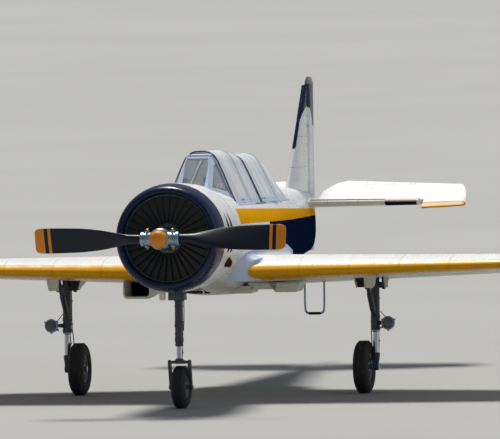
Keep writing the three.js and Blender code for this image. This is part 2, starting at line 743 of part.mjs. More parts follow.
// Elevator: one solid, its halves joined by the torque tube. Columns are x, nose, hinge thickness, tail
function elevatorHalf(side) {
  const { hingeY, z } = ELEVATOR;
  const ring = (x, thick, tailY) => {
    const centre = v3(side * x, hingeY, z);
    const tail = v3(side * x, tailY, z);
    return [...arcRing(centre, thick / 2, tail), tail.clone().add(v3(0, 0, -5)), tail.clone().add(v3(0, 0, 5))];
  };
  const blade = loft([ring(118, 82, 7595), ring(1600, 56, 7440)]);
  // Cut away at the root so that the rudder swings clear
  const root = [[7020, 125], [7250, 127], [7500, 226], [7590, 345], [7700, 500]];
  const notch = loft(root.map(([y, x]) => [
    v3(side * 90, y, z - 200), v3(side * 90, y, z + 200), v3(side * x, y, z + 200), v3(side * x, y, z - 200),
  ]));
  const hornRing = (x, nose, tail, thick) => {
    const place = (y, h) => v3(side * x, y, z + h);
    return symmetricRing(place, nose, tail, thick);
  };
  const horn = loft([
    hornRing(1192, 6800, 7440, 60), hornRing(1490, 6840, 7432, 58), hornRing(1545, 6850, 7310, 50),
    hornRing(1585, 6860, 7130, 40), hornRing(1608, 6872, 6975, 26), hornRing(1618, 6884, 6925, 12),
  ]);
  const inboard = box(-1480, 1480, 6000, 8000, -999, 999);
  return join(blade.subtract(notch).intersect(inboard), horn);
}

function tailParts() {
  const { hingeY, z } = ELEVATOR;
  const tube = rod(v3(-140, hingeY, z), v3(140, hingeY, z), TORQUE_TUBE);
  let elevator = join(elevatorHalf(1), elevatorHalf(-1), tube);
  const size = { eye: 15, pin: 7, lug: 16 };
  const stabilizers = [1, -1].map((side) => {
    let made = stabilizer(side);
    const at = v3(side * 760, hingeY, z);
    [made, elevator] = hinge(made, elevator, at, v3(1, 0, 0), v3(0, -80, 0), size);
    return made;
  });
  const finRing = (height, nose, thick) =>
    symmetricRing((y, x) => v3(x, y, height), nose, 7030, thick);
  const base = loft([
    finRing(300, 5880, 86), finRing(430, 6047, 82), finRing(560, 6178, 78), finRing(1408, 6923, 52),
  ]);
  let fin = base.subtract(fuselageEnvelope);
  const bodyRing = (height, thick, tailY) => {
    const arc = arcRing(v3(0, RUDDER.hingeY, 0), thick / 2, v3(0, tailY, 0));
    const ring = arc.map((p) => v3(p.z, p.y, height));
    return [...ring, v3(-4, tailY, height), v3(4, tailY, height)];
  };
  const lower = loft([
    bodyRing(-232, 74, 7600), bodyRing(-150, 84, 7690), bodyRing(250, 84, LENGTH), bodyRing(1425, 50, 7704),
  ]);
  const hornRing = (height, nose, tail, thick) =>
    symmetricRing((y, x) => v3(x, y, height), nose, tail, thick);
  const horn = loft([
    hornRing(1418, 6938, 7704, 50), hornRing(1462, 6988, 7600, 34), hornRing(1490, 7080, 7480, 12),
  ]);
  let rudder = join(lower, horn);
  const pin = { eye: 15, pin: 7, lug: 16 };
  [fin, rudder] = hinge(fin, rudder, v3(0, RUDDER.hingeY, 1000), v3(0, 0, 1), v3(0, -90, 0), pin);
  let tail = fuselageTail();
  [tail, rudder] = hinge(tail, rudder, v3(0, RUDDER.hingeY, -120), v3(0, 0, 1), v3(0, -80, 0), pin);
  return { elevator, stabilizers, fin, rudder, tail };
}

// Landing gear. Heights come from the ground: a point at height h over it, at airframe station y.
const heightAt = (y, h) =>
  (h - HUB_HEIGHT + y * Math.sin(PARKED_PITCH)) / Math.cos(PARKED_PITCH);

function tyre(radius, width, bead) {
  const half = width / 2;
  const profile = [
    [bead, -half * 0.62], [bead + 20, -half * 0.88], [(radius + bead) / 2, -half],
    [radius - 30, -half * 0.9], [radius - 8, -half * 0.6], [radius, -half * 0.25],
    [radius, half * 0.25], [radius - 8, half * 0.6], [radius - 30, half * 0.9],
    [(radius + bead) / 2, half], [bead + 20, half * 0.88], [bead, half * 0.62],
  ];
  return turned(profile, 24);
}

function rim(bead, width, bore) {
  const half = width / 2;
  const outer = bead - TOUCH;
  return turned([
    [bore, -half * 0.66], [48, -half * 0.66], [56, -half * 0.3], [outer - 14, -half * 0.3],
    [outer, -half * 0.66], [outer, half * 0.66], [outer - 14, half * 0.3],
    [56, half * 0.3], [48, half * 0.66], [bore, half * 0.66],
  ], 24);
}

const AXLE = 20;

function mainLeg(side) {
  const { y, legX } = MAIN;
  const x = side * legX;
  const axleZ = heightAt(y, MAIN.tyre);
  const inboard = (d) => side * (legX - d);
  const cylinder = rod(v3(x, y, -300), v3(x, y, -930), 40, 16);
  const piston = rod(v3(x, y, -920), v3(x, y, axleZ + 100), 28, 12);
  const knuckle = join(
    rod(v3(x, y, axleZ + 130), v3(x, y, axleZ + 60), 34, 12),
    solid(new ConvexGeometry([
      ...cornersOf(rod(v3(x, y, axleZ + 100), v3(x, y, axleZ + 60), 24)),
      ...cornersOf(rod(v3(inboard(22), y, axleZ), v3(inboard(-22), y, axleZ), 34)),
    ])),
  );
  const axle = rod(v3(inboard(0), y, axleZ), v3(inboard(190), y, axleZ), AXLE, 16);
  const nut = rod(v3(inboard(176), y, axleZ), v3(inboard(192), y, axleZ), 32, 6);
  const link = (z0, z1) => solid(new ConvexGeometry([
    ...cornersOf(rod(v3(x - 20, y + 45, z0), v3(x + 20, y + 45, z0), 12, 10)),
    ...cornersOf(rod(v3(x - 12, y + 118, z1), v3(x + 12, y + 118, z1), 12, 10)),
  ]));
  const scissors = join(link(-880, (axleZ + 90 - 880) / 2), link(axleZ + 90, (axleZ + 90 - 880) / 2));
  const brace = rod(v3(x, y - 20, -800), v3(x, y - 420, -392), 20, 10);
  const trunnion = rod(v3(x - 95, y, -500), v3(x + 95, y, -500), 30, 16);
  return without(join(cylinder, piston, knuckle, axle, nut, scissors, brace, trunnion), wingClear(side));
}

// Everything at or above the wing's skin, so that what hangs from it ends just below it
function wingClear(side) {
  const made = wingLoft(0, 1, TOUCH);
  return side > 0 ? made : made.mirror([1, 0, 0]);
}

function lamp(side) {
  const { y, legX } = MAIN;
  const [x, z] = [side * (legX + 137), -862];
  const shellY = y - 90;
  const drum = turned([[0, shellY + 70], [34, shellY + 66], [62, shellY + 22], [66, shellY], [58, shellY], [54, shellY + 6], [0, shellY + 6]], 20);
  const placed = drum.translate([x, 0, z]);
  const arm = boxAcross(side * (legX + 40.6), side * (legX + 127), shellY + 20, y + 14, z - 12, z + 12);
  return join(placed, arm);
}

const CYLINDER_END = -985;

function noseLeg() {
  const y = NOSE.legY;
  const mount = box(-92, 92, y - 90, y + 110, -590, -497);
  const engineFoot = box(-60, 60, y - 40, y + 60, -500, -400);
  const cylinder = rod(v3(0, y, -560), v3(0, y, CYLINDER_END), 38, 16);
  const jack = rod(v3(0, y + 40, -760), v3(0, y + 380, -548), 18, 12);
  const sleeveBore = rod(v3(0, y, -820), v3(0, y, CYLINDER_END - 10), 27.5, 12);
  return without(join(mount, engineFoot, cylinder, jack), sleeveBore, engineBlock(TOUCH));
}

function linkPlate(x, y0, z0, y1, z1) {
  return solid(new ConvexGeometry([
    ...cornersOf(rod(v3(x - 18, y0, z0), v3(x + 18, y0, z0), 11, 10)),
    ...cornersOf(rod(v3(x - 10, y1, z1), v3(x + 10, y1, z1), 11, 10)),
  ]));
}

function noseFork() {
  const { legY, y, tyre: radius, width } = NOSE;
  const axleZ = heightAt(y, radius);
  const crownZ = axleZ + radius + 22;
  const arm = width / 2 + 26;
  const spindle = rod(v3(0, legY, -830), v3(0, legY, crownZ + 10), 26, 12);
  const crown = solid(new ConvexGeometry([
    ...cornersOf(rod(v3(0, legY, crownZ), v3(0, legY, crownZ + 46), 40, 16)),
    ...cornersOf(box(-arm - 12, arm + 12, legY - 30, legY + 34, crownZ, crownZ + 30)),
  ]));
  const arms = [1, -1].map((d) => solid(new ConvexGeometry([
    ...cornersOf(boxAcross(d * (arm - 12), d * (arm + 12), legY - 30, legY + 34, crownZ, crownZ + 24)),
    ...cornersOf(rod(v3(d * (arm - 12), y, axleZ), v3(d * (arm + 12), y, axleZ), 28)),
  ])));
  const axle = rod(v3(-arm - 20, y, axleZ), v3(arm + 20, y, axleZ), AXLE, 16);
  const collar = rod(v3(0, legY, CYLINDER_END - 0.6), v3(0, legY, CYLINDER_END - 40), 38, 16);
  const knee = [legY + 118, (CYLINDER_END - 25 + crownZ + 30) / 2];
  const links = [linkPlate(0, legY + 40, CYLINDER_END - 25, ...knee), linkPlate(0, legY + 38, crownZ + 30, ...knee)];
  return join(spindle, crown, collar, ...arms, axle, ...links);
}

// Small fittings

function oilCoolerScoop() {
  const at = wingAt(670);
  const low = wingPoint(at, 0.2, 0).z;
  const outer = solid(new ConvexGeometry([
    v3(-770, 1990, low + 10), v3(-495, 1990, low + 10), v3(-760, 1990, low - 155), v3(-505, 1990, low - 155),
    v3(-745, 2560, low - 125), v3(-520, 2560, low - 125), v3(-755, 2800, low), v3(-510, 2800, low),
  ]));
  const inner = solid(new ConvexGeometry([
    v3(-757, 1980, low + 60), v3(-508, 1980, low + 60), v3(-747, 1980, low - 142), v3(-518, 1980, low - 142),
    v3(-731, 2330, low - 110), v3(-534, 2330, low - 110), v3(-741, 2330, low + 60), v3(-524, 2330, low + 60),
  ]));
  return without(outer, inner, wingClear(-1), fuselageEnvelope);
}

function boardingStep() {
  const y = 3280;
  const [x0, x1, low] = [735, 925, -775];
  const top = -440;
  const loop = bentTube([
    v3(x0, y, top), v3(x0, y, -640), v3(x0 + 6, y, low + 24), v3(x0 + 34, y, low),
    v3(x1 - 34, y, low), v3(x1 - 6, y, low + 24), v3(x1, y, -640), v3(x1, y, top),
  ], 10, 8, 22);
  return without(loop, wingClear(1));
}

function whip() {
  const foot = v3(0, 5000, 452);
  const base = rod(v3(0, 5000, 430), v3(0, 5012, 475), 20, 12, 12);
  return join(base, rod(foot, v3(0, 5395, 905), 5, 8, 3)).subtract(fuselageEnvelope);
}

// Assembly

const airframe = new THREE.Group();
airframe.rotation.x = -PARKED_PITCH;
airframe.position.set(0, DOME_Y, HUB_HEIGHT);
const add = (name, made, material, parent = airframe) => {
  const mesh = meshOf(name, made, MATERIAL[material]);
  parent.add(mesh);
  return mesh;
};

const propeller = propellerParts();
add("propeller_dome", propeller.dome, "orange");
add("propeller_hub", propeller.hub, "steel");
propeller.blades.forEach((blade, i) => add(`propeller_blade_${i + 1}`, blade, "blade"));

const cowl = cowlRings();
add("cowl_nose_ring", cowl.ring, "navy");
add("cowl_panel_upper", cowl.upper, "white");
const footHole = box(-100, 100, 850, 1070, -700, -400);
add("cowl_panel_lower", without(cowl.lower, footHole, exhaustHole(1), exhaustHole(-1)), "white");
add("cooling_shutters", shutters(), "black");
add("engine_block", engineBlock(), "iron");

const tail = tailParts();
add("fuselage_cockpit", fuselageCockpit(), "white");
add("fuselage_tail", tail.tail, "white");
add("fin", tail.fin, "white");
add("stabilizer_left", tail.stabilizers[0], "white");
add("stabilizer_right", tail.stabilizers[1], "white");

// A movable tail surface hangs in a group on its hinge, which sets how it stands at rest.
function turnedAbout(name, made, material, at, axis, angle) {
  const group = new THREE.Group();
  group.position.copy(at);
  group.quaternion.setFromAxisAngle(axis, angle);
  group.add(meshOf(name, made.translate([-at.x, -at.y, -at.z]), MATERIAL[material]));
  airframe.add(group);
}
turnedAbout("elevator", tail.elevator, "white", v3(0, ELEVATOR.hingeY, ELEVATOR.z), v3(1, 0, 0), ELEVATOR.up);
turnedAbout("rudder", tail.rudder, "white", v3(0, RUDDER.hingeY, 0), v3(0, 0, 1), -RUDDER.left);

const left = wingSide();
for (const [side, name] of [[1, "left"], [-1, "right"]]) {
  const mirrored = (made) => (side > 0 ? made : made.mirror([1, 0, 0]));
  add(`wing_${name}`, mirrored(left.wing), "white");
  add(`aileron_${name}`, mirrored(left.aileron), "white");
  add(`flap_${name}`, mirrored(left.flap), "white");
  add(`exhaust_${name}`, exhaust(side), "iron");
  add(`main_leg_${name}`, mainLeg(side), "steel");
  add(`leg_lamp_${name}`, lamp(side), "steel");
}

const windscreen = windscreenPair();
const frontHood = hoodPair(CANOPY.archY, CANOPY.frontY, 0, 0);
const middle = hoodPair(CANOPY.frontY + 8, CANOPY.middleY, 18, -14, 36);
const rearHood = hoodPair(CANOPY.middleY + 8, CANOPY.rearY, 0, -44);
const fairing = rearFairing();
add("windscreen_frame", windscreen.frame, "frame");
for (const place of ["centre", "left", "right"]) {
  add(`windscreen_glass_${place}`, windscreen[place], "glass");
}
const glazing = { front_hood: frontHood, canopy_middle: middle, rear_hood: rearHood, canopy_rear: fairing };
for (const [name, pair] of Object.entries(glazing)) {
  add(`${name}_frame`, pair.frame, "frame");
  add(`${name}_glass`, pair.glass, "glass");
}

const SEATS = { front: 2790, rear: 3960 };
add("seat_front", seat(SEATS.front), "black");
add("seat_rear", seat(SEATS.rear), "black");
add("seat_cushion_front", cushion(SEATS.front), "leather");
add("seat_cushion_rear", cushion(SEATS.rear), "leather");
add("instrument_panel_front", panel(2045, 270), "black");
add("instrument_panel_rear", panel(3120, 270), "black");
add("control_stick_front", stick(2330), "black");
add("control_stick_rear", stick(3480), "black");

add("nose_leg", noseLeg(), "steel");
add("nose_fork", noseFork(), "steel");
add("oil_cooler_scoop", oilCoolerScoop(), "white");
add("boarding_step", boardingStep(), "steel");
add("whip_antenna", whip(), "frame");

function wheel(name, x, y, radius, width, bead) {
  const group = new THREE.Group();
  group.position.set(x, y, heightAt(y, radius));
  group.rotation.set(PARKED_PITCH, 0, -Math.PI / 2); // the turned piece's axis onto X
  group.add(meshOf(`${name}_tyre`, tyre(radius, width, bead), MATERIAL.rubber));
  group.add(meshOf(`${name}_rim`, rim(bead, width, AXLE * 1.04), MATERIAL.black));
  airframe.add(group);
}
wheel("main_wheel_left", MAIN.x, MAIN.y, MAIN.tyre, MAIN.width, 128);
wheel("main_wheel_right", -MAIN.x, MAIN.y, MAIN.tyre, MAIN.width, 128);
wheel("nose_wheel", 0, NOSE.y, NOSE.tyre, NOSE.width, 102);

const aircraft = new THREE.Group();
aircraft.add(airframe);

export default aircraft;
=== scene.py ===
"""A two-seat radial-engined light trainer on its nose-wheel gear, dressed for its final render."""

import json
import math

import bmesh
import bpy
import numpy as np
from mathutils import Matrix, Vector

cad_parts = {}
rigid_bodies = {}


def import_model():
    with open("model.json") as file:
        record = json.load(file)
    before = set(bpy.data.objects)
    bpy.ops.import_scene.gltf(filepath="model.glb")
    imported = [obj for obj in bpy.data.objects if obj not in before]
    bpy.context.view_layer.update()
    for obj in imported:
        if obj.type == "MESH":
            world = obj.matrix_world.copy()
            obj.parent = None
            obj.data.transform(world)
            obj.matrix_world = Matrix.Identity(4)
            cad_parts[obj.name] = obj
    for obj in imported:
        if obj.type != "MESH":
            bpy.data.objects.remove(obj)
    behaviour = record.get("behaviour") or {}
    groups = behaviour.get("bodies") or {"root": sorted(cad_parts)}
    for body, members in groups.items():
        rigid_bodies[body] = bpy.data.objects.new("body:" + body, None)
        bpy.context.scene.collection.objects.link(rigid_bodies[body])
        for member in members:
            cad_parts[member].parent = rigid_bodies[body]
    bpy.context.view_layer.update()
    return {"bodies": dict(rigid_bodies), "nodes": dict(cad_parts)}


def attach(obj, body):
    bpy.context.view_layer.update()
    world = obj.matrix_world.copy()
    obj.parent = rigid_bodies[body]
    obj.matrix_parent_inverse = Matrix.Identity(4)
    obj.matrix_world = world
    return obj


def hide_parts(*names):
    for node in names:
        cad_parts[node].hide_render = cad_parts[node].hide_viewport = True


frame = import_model()

bl_info = {
    "name": "Radial trainer aircraft",
    "version": (1, 0, 0),
    "blender": (4, 5, 0),
    "location": "3D View > Sidebar > Trainer",
    "description": "Builds the skin, fittings and finishes of a two-seat light trainer",
    "category": "Object",
}

# The airframe's own axes: X to the pilot's left, Y aft from the propeller dome's tip, Z up from the
# thrust line, all in millimetres. The parked aircraft stands nose up by the pitch.
PARKED_PITCH = math.radians(2.5)
DOME_Y = -3.8793
HUB_HEIGHT = 1.653
AXES = Matrix.Translation((0, DOME_Y, HUB_HEIGHT)) @ Matrix.Rotation(-PARKED_PITCH, 4, "X")
AIRFRAME = AXES @ Matrix.Scale(0.001, 4)
MIRROR = Matrix.Scale(-1, 4, (1, 0, 0))
SIDES = (("left", 1), ("right", -1))
TOUCH = 0.4
RUNNING = 6


def spin(share, axis="Y"):
    """This share of a full turn."""
    return Matrix.Rotation(math.tau * share, 4, axis)


def ground(y, height):
    """The airframe Z of a point that stands this high over the ground at station y."""
    return (height - 1000 * HUB_HEIGHT + y * math.sin(PARKED_PITCH)) / math.cos(PARKED_PITCH)


# Finishes

def linear(hex_colour):
    """An sRGB hex colour as the linear one that shaders take."""
    parts = [int(hex_colour[i:i + 2], 16) / 255 for i in (1, 3, 5)]
    return tuple(c / 12.92 if c <= 0.04045 else ((c + 0.055) / 1.055) ** 2.4 for c in parts)


def shade(colour, share):
    return (*(c * share for c in tuple(colour)[:3]), 1)


def node(tree, kind, inputs=None, **settings):
    """Adds one shader node with its settings. Its inputs are plain values, or other nodes' outputs."""
    made = tree.nodes.new("ShaderNode" + kind)
    for key, value in settings.items():
        setattr(made, key, value)
    for key, value in (inputs or {}).items():
        if isinstance(value, bpy.types.NodeSocket):
            tree.links.new(value, made.inputs[key])
        else:
            made.inputs[key].default_value = value
    return made


def new_finish(name, **constants):
    """A material with its one shader, and the surface's own place in airframe axes, in metres."""
    material = bpy.data.materials.new(name)
    material.use_nodes = True
    tree = material.node_tree
    tree.nodes.clear()
    constants = {key.replace("_", " "): value for key, value in constants.items()}
    shader = node(tree, "BsdfPrincipled", constants)
    node(tree, "OutputMaterial", {"Surface": shader.outputs["BSDF"]})
    row = node(tree, "TexCoord").outputs["Object"]
    back = AXES.inverted()
    at = node(tree, "Mapping", {"Vector": row, "Location": back.to_translation(),
                                "Rotation": back.to_euler()}).outputs["Vector"]
    return material, tree, shader, at


def once(finish):
    """Makes a finish when its name is first asked for, and hands out the same one after that."""
    def give(name, *values, **settings):
        return bpy.data.materials.get(name) or finish(name, *values, **settings)
    return give


def dress(tree, shader, tint, rough, height, strength, depth):
    """Links a finish's colour, roughness and relief to its shader. depth is in metres."""
    bump = node(tree, "Bump", {"Height": height, "Strength": strength, "Distance": depth})
    for key, value in (("Base Color", tint), ("Roughness", rough), ("Normal", bump.outputs[0])):
        if value:
            tree.links.new(value, shader.inputs[key])


def sheet_joints(tree, u, v, u_pitch, v_pitch):
    """Masks of the joints between sheets and of the rivets beside them, from surface distances in metres.
    A real joint is 1 mm wide with 4 mm rivets every 30 mm; both are drawn coarser so that they show."""
    joints, rivets = [], []
    for across, along, pitch in ((u, v, u_pitch), (v, u, v_pitch)):
        off = node(tree, "Math", {0: across, 1: pitch / 2}, operation="PINGPONG").outputs[0]
        joints.append(node(tree, "MapRange", {
            "Value": off, "From Min": 0.0012, "From Max": 0.0034, "To Min": 1, "To Max": 0}).outputs[0])
        step = node(tree, "Math", {0: along, 1: 0.024}, operation="PINGPONG").outputs[0]
        side = node(tree, "Math", {0: off, 1: 0.015}, operation="SUBTRACT").outputs[0]
        spot = node(tree, "CombineXYZ", {"X": step, "Y": side}).outputs[0]
        far = node(tree, "VectorMath", {0: spot}, operation="LENGTH").outputs["Value"]
        rivets.append(node(tree, "MapRange", {
            "Value": far, "From Min": 0.0025, "From Max": 0.0045, "To Min": 1, "To Max": 0}).outputs[0])
    pair = [node(tree, "Math", {0: m[0], 1: m[1]}, operation="MAXIMUM").outputs[0]
            for m in (joints, rivets)]
    return pair


def surface_axes(tree, at, layout):
    """Two distances along the skin, in metres, for the way its sheets are laid."""
    parts = node(tree, "SeparateXYZ", {"Vector": at}).outputs
    if layout == "body":
        angle = node(tree, "Math", {0: parts["X"], 1: parts["Z"]}, operation="ARCTAN2")
        around = node(tree, "Math", {0: angle.outputs[0], 1: 0.45}, operation="MULTIPLY")
        return parts["Y"], around.outputs[0]
    if layout == "fin":
        return parts["Z"], parts["Y"]
    return parts["X"], parts["Y"]


@once
def enamel(name, colour, layout="wing", pitches=(0.48, 0.36), roughness=0.28, grime=0.5, rivets=True,
           gloss=0.12):
    """Two-pack enamel sprayed on riveted aluminium sheet: a hard gloss with orange peel over sheets that
    dish a little between their frames, dirt along the joints and streaks the way the air flows."""
    material, tree, shader, at = new_finish(name, Roughness=roughness, IOR=1.5, Specular_IOR_Level=gloss,
                                            Coat_Weight=gloss / 4, Coat_Roughness=0.1)
    u, v = surface_axes(tree, at, layout)
    broad = node(tree, "TexNoise", {"Vector": at, "Scale": 2.2, "Detail": 4}).outputs["Fac"]
    streaked = node(tree, "Mapping", {"Vector": at, "Scale": (16, 1.6, 16)}).outputs["Vector"]
    streaks = node(tree, "TexNoise", {"Vector": streaked, "Scale": 1.5, "Detail": 6,
                                      "Roughness": 0.62}).outputs["Fac"]
    faded = node(tree, "MapRange", {"Value": broad, "From Min": 0.35, "From Max": 0.65}).outputs[0]
    base = node(tree, "Mix", {"Factor": faded, "A": shade(colour, 0.94), "B": shade(colour, 1)},
                data_type="RGBA")
    dirty = node(tree, "MapRange", {"Value": streaks, "From Min": 0.52, "From Max": 0.78,
                                    "To Max": 0.22 * grime}).outputs[0]
    dusted = node(tree, "Mix", {"Factor": dirty, "A": base.outputs["Result"],
                                "B": (0.11, 0.09, 0.06, 1)}, data_type="RGBA").outputs["Result"]
    # Orange peel is about 2 mm across; it is drawn at 6 mm.
    peel = node(tree, "TexNoise", {"Vector": at, "Scale": 170, "Detail": 1}).outputs["Fac"]
    height = node(tree, "Math", {0: peel, 1: 0.1}, operation="MULTIPLY").outputs[0]
    tint = dusted
    if rivets:
        joint, heads = sheet_joints(tree, u, v, *pitches)
        dish = node(tree, "Math", {0: u, 1: pitches[0] / 4}, operation="PINGPONG").outputs[0]
        dished = node(tree, "Math", {0: dish, 1: -14}, operation="MULTIPLY").outputs[0]
        cut = node(tree, "Math", {0: joint, 1: -1.1, 2: height}, operation="MULTIPLY_ADD").outputs[0]
        proud = node(tree, "Math", {0: heads, 1: 0.5, 2: cut}, operation="MULTIPLY_ADD").outputs[0]
        height = node(tree, "Math", {0: proud, 1: dished}, operation="ADD").outputs[0]
        seam = node(tree, "Math", {0: joint, 1: 0.6}, operation="MULTIPLY").outputs[0]
        ring = node(tree, "Math", {0: heads, 1: 0.22, 2: seam}, operation="MULTIPLY_ADD").outputs[0]
        tint = node(tree, "Mix", {"Factor": ring, "A": dusted, "B": shade(colour, 0.3)},
                    data_type="RGBA").outputs["Result"]
    rough = node(tree, "MapRange", {"Value": streaks, "From Min": 0.4, "From Max": 0.75,
                                    "To Min": roughness - 0.04, "To Max": roughness + 0.16})
    dress(tree, shader, tint, rough.outputs[0], height, 0.6, 0.001)
    return material


@once
def doped_fabric(name, colour, layout="wing", pitch=0.24):
    """Doped cotton over ribs, brushed and sprayed: a tight weave under paint, with a pinked tape along
    each rib. The weave is 1 mm, drawn at 5 mm."""
    material, tree, shader, at = new_finish(name, IOR=1.48, Sheen_Weight=0.15, Sheen_Roughness=0.5)
    u, v = surface_axes(tree, at, layout)
    off = node(tree, "Math", {0: u, 1: pitch / 2}, operation="PINGPONG").outputs[0]
    teeth = node(tree, "Math", {0: v, 1: 0.008}, operation="PINGPONG").outputs[0]
    edge = node(tree, "Math", {0: teeth, 1: 0.4, 2: off}, operation="MULTIPLY_ADD").outputs[0]
    tape = node(tree, "MapRange", {"Value": edge, "From Min": 0.018, "From Max": 0.021,
                                   "To Min": 1, "To Max": 0}).outputs[0]
    weave = node(tree, "TexWave", {"Vector": at, "Scale": 60, "Distortion": 1.5, "Detail": 1},
                 bands_direction="DIAGONAL").outputs["Fac"]
    broad = node(tree, "TexNoise", {"Vector": at, "Scale": 3.5, "Detail": 5}).outputs["Fac"]
    worn = node(tree, "MapRange", {"Value": broad, "From Min": 0.3, "From Max": 0.7}).outputs[0]
    base = node(tree, "Mix", {"Factor": worn, "A": shade(colour, 0.9), "B": shade(colour, 1)},
                data_type="RGBA").outputs["Result"]
    rib = node(tree, "Math", {0: tape, 1: 0.12}, operation="MULTIPLY").outputs[0]
    tint = node(tree, "Mix", {"Factor": rib, "A": base, "B": shade(colour, 0.55)},
                data_type="RGBA").outputs["Result"]
    rough = node(tree, "MapRange", {"Value": broad, "To Min": 0.4, "To Max": 0.62}).outputs[0]
    raised = node(tree, "Math", {0: weave, 1: 0.16, 2: tape}, operation="MULTIPLY_ADD").outputs[0]
    dress(tree, shader, tint, rough, raised, 0.5, 0.001)
    return material


@once
def tail_livery(name, white, navy, layout, border, pitch):
    """The fin's and rudder's white enamel under a navy leading edge and cap. border lists the curve
    between them as (height over the thrust line, distance aft of the dome), in metres."""
    fill = doped_fabric if layout == "cloth" else enamel
    rest = {"pitch": pitch} if layout == "cloth" else {"pitches": (pitch, 0.4), "grime": 0.3}
    material = fill(name, white, layout="fin", **rest)
    tree = material.node_tree
    shader = next(n for n in tree.nodes if n.type == "BSDF_PRINCIPLED")
    at = next(n for n in tree.nodes if n.type == "MAPPING" and n.inputs["Vector"].links[0].from_node.type
              == "TEX_COORD").outputs["Vector"]
    parts = node(tree, "SeparateXYZ", {"Vector": at}).outputs
    low, high = border[0][0], border[-1][0]
    rise = node(tree, "MapRange", {"Value": parts["Z"], "From Min": low, "From Max": high}).outputs[0]
    curve = node(tree, "FloatCurve", {"Value": rise})
    points = curve.mapping.curves[0].points
    reach = [b[1] for b in border]
    near, far = min(reach), max(reach)
    spots = [((b[0] - low) / (high - low), (b[1] - near) / (far - near)) for b in border]
    points[0].location, points[1].location = spots[0], spots[-1]
    for spot in spots[1:-1]:
        points.new(*spot)
    curve.mapping.update()
    edge = node(tree, "MapRange", {"Value": curve.outputs[0], "To Min": near, "To Max": far},
                clamp=False).outputs[0]
    behind = node(tree, "Math", {0: parts["Y"], 1: edge}, operation="SUBTRACT").outputs[0]
    droop = node(tree, "MapRange", {"Value": parts["Y"], "From Min": far, "From Max": far + 0.5,
                                    "To Min": high, "To Max": high - 0.2}).outputs[0]
    cap = node(tree, "Math", {0: droop, 1: parts["Z"]}, operation="SUBTRACT").outputs[0]
    inside = node(tree, "Math", {0: behind, 1: cap}, operation="MINIMUM").outputs[0]
    mask = node(tree, "MapRange", {"Value": inside, "From Min": -0.001, "From Max": 0.001}).outputs[0]
    under = shader.inputs["Base Color"].links[0].from_socket
    tint = node(tree, "Mix", {"Factor": mask, "A": shade(navy, 1), "B": under}, data_type="RGBA")
    tree.links.new(tint.outputs["Result"], shader.inputs["Base Color"])
    return material


@once
def lacquer(name, colour, roughness=0.32, chips=0.0):
    """Lacquer on a laminated wooden blade or a spun dome, flatted and polished: smooth and deep, with
    stone chips and insect marks that show pale."""
    material, tree, shader, at = new_finish(name, IOR=1.5, Specular_IOR_Level=0.3, Coat_Weight=0.08,
                                            Coat_Roughness=0.12)
    marks = node(tree, "TexVoronoi", {"Vector": at, "Scale": 42}).outputs["Distance"]
    chip = node(tree, "MapRange", {"Value": marks, "From Min": 0.05, "From Max": 0.08,
                                   "To Min": chips, "To Max": 0}).outputs[0]
    broad = node(tree, "TexNoise", {"Vector": at, "Scale": 6, "Detail": 5}).outputs["Fac"]
    base = node(tree, "Mix", {"Factor": broad, "A": shade(colour, 0.85), "B": shade(colour, 1.12)},
                data_type="RGBA").outputs["Result"]
    tint = node(tree, "Mix", {"Factor": chip, "A": base, "B": (0.32, 0.3, 0.27, 1)},
                data_type="RGBA").outputs["Result"]
    rough = node(tree, "MapRange", {"Value": broad, "To Min": roughness - 0.06,
                                    "To Max": roughness + 0.12}).outputs[0]
    dress(tree, shader, tint, rough, chip, 0.3, -0.0006)
    return material


@once
def metal(name, colour, roughness=0.3, grain=(3, 3, 3), soiled=0.3, metallic=1.0):
    """A machined, plated or rolled metal with tool marks along its grain, and oil held in the marks."""
    material, tree, shader, at = new_finish(name, Metallic=metallic)
    lay = node(tree, "Mapping", {"Vector": at, "Scale": grain}).outputs["Vector"]
    tool = node(tree, "TexNoise", {"Vector": lay, "Scale": 60, "Detail": 4}).outputs["Fac"]
    spots = node(tree, "TexNoise", {"Vector": at, "Scale": 14, "Detail": 6,
                                    "Roughness": 0.65}).outputs["Fac"]
    oil = node(tree, "MapRange", {"Value": spots, "From Min": 0.5, "From Max": 0.72,
                                  "To Max": soiled}).outputs[0]
    bright = node(tree, "Mix", {"Factor": tool, "A": shade(colour, 0.9), "B": shade(colour, 1.08)},
                  data_type="RGBA").outputs["Result"]
    tint = node(tree, "Mix", {"Factor": oil, "A": bright, "B": (0.035, 0.028, 0.022, 1)},
                data_type="RGBA").outputs["Result"]
    rough = node(tree, "Math", {0: oil, 1: 0.5, 2: roughness}, operation="MULTIPLY_ADD").outputs[0]
    dress(tree, shader, tint, rough, tool, 0.12, 0.0006)
    return material


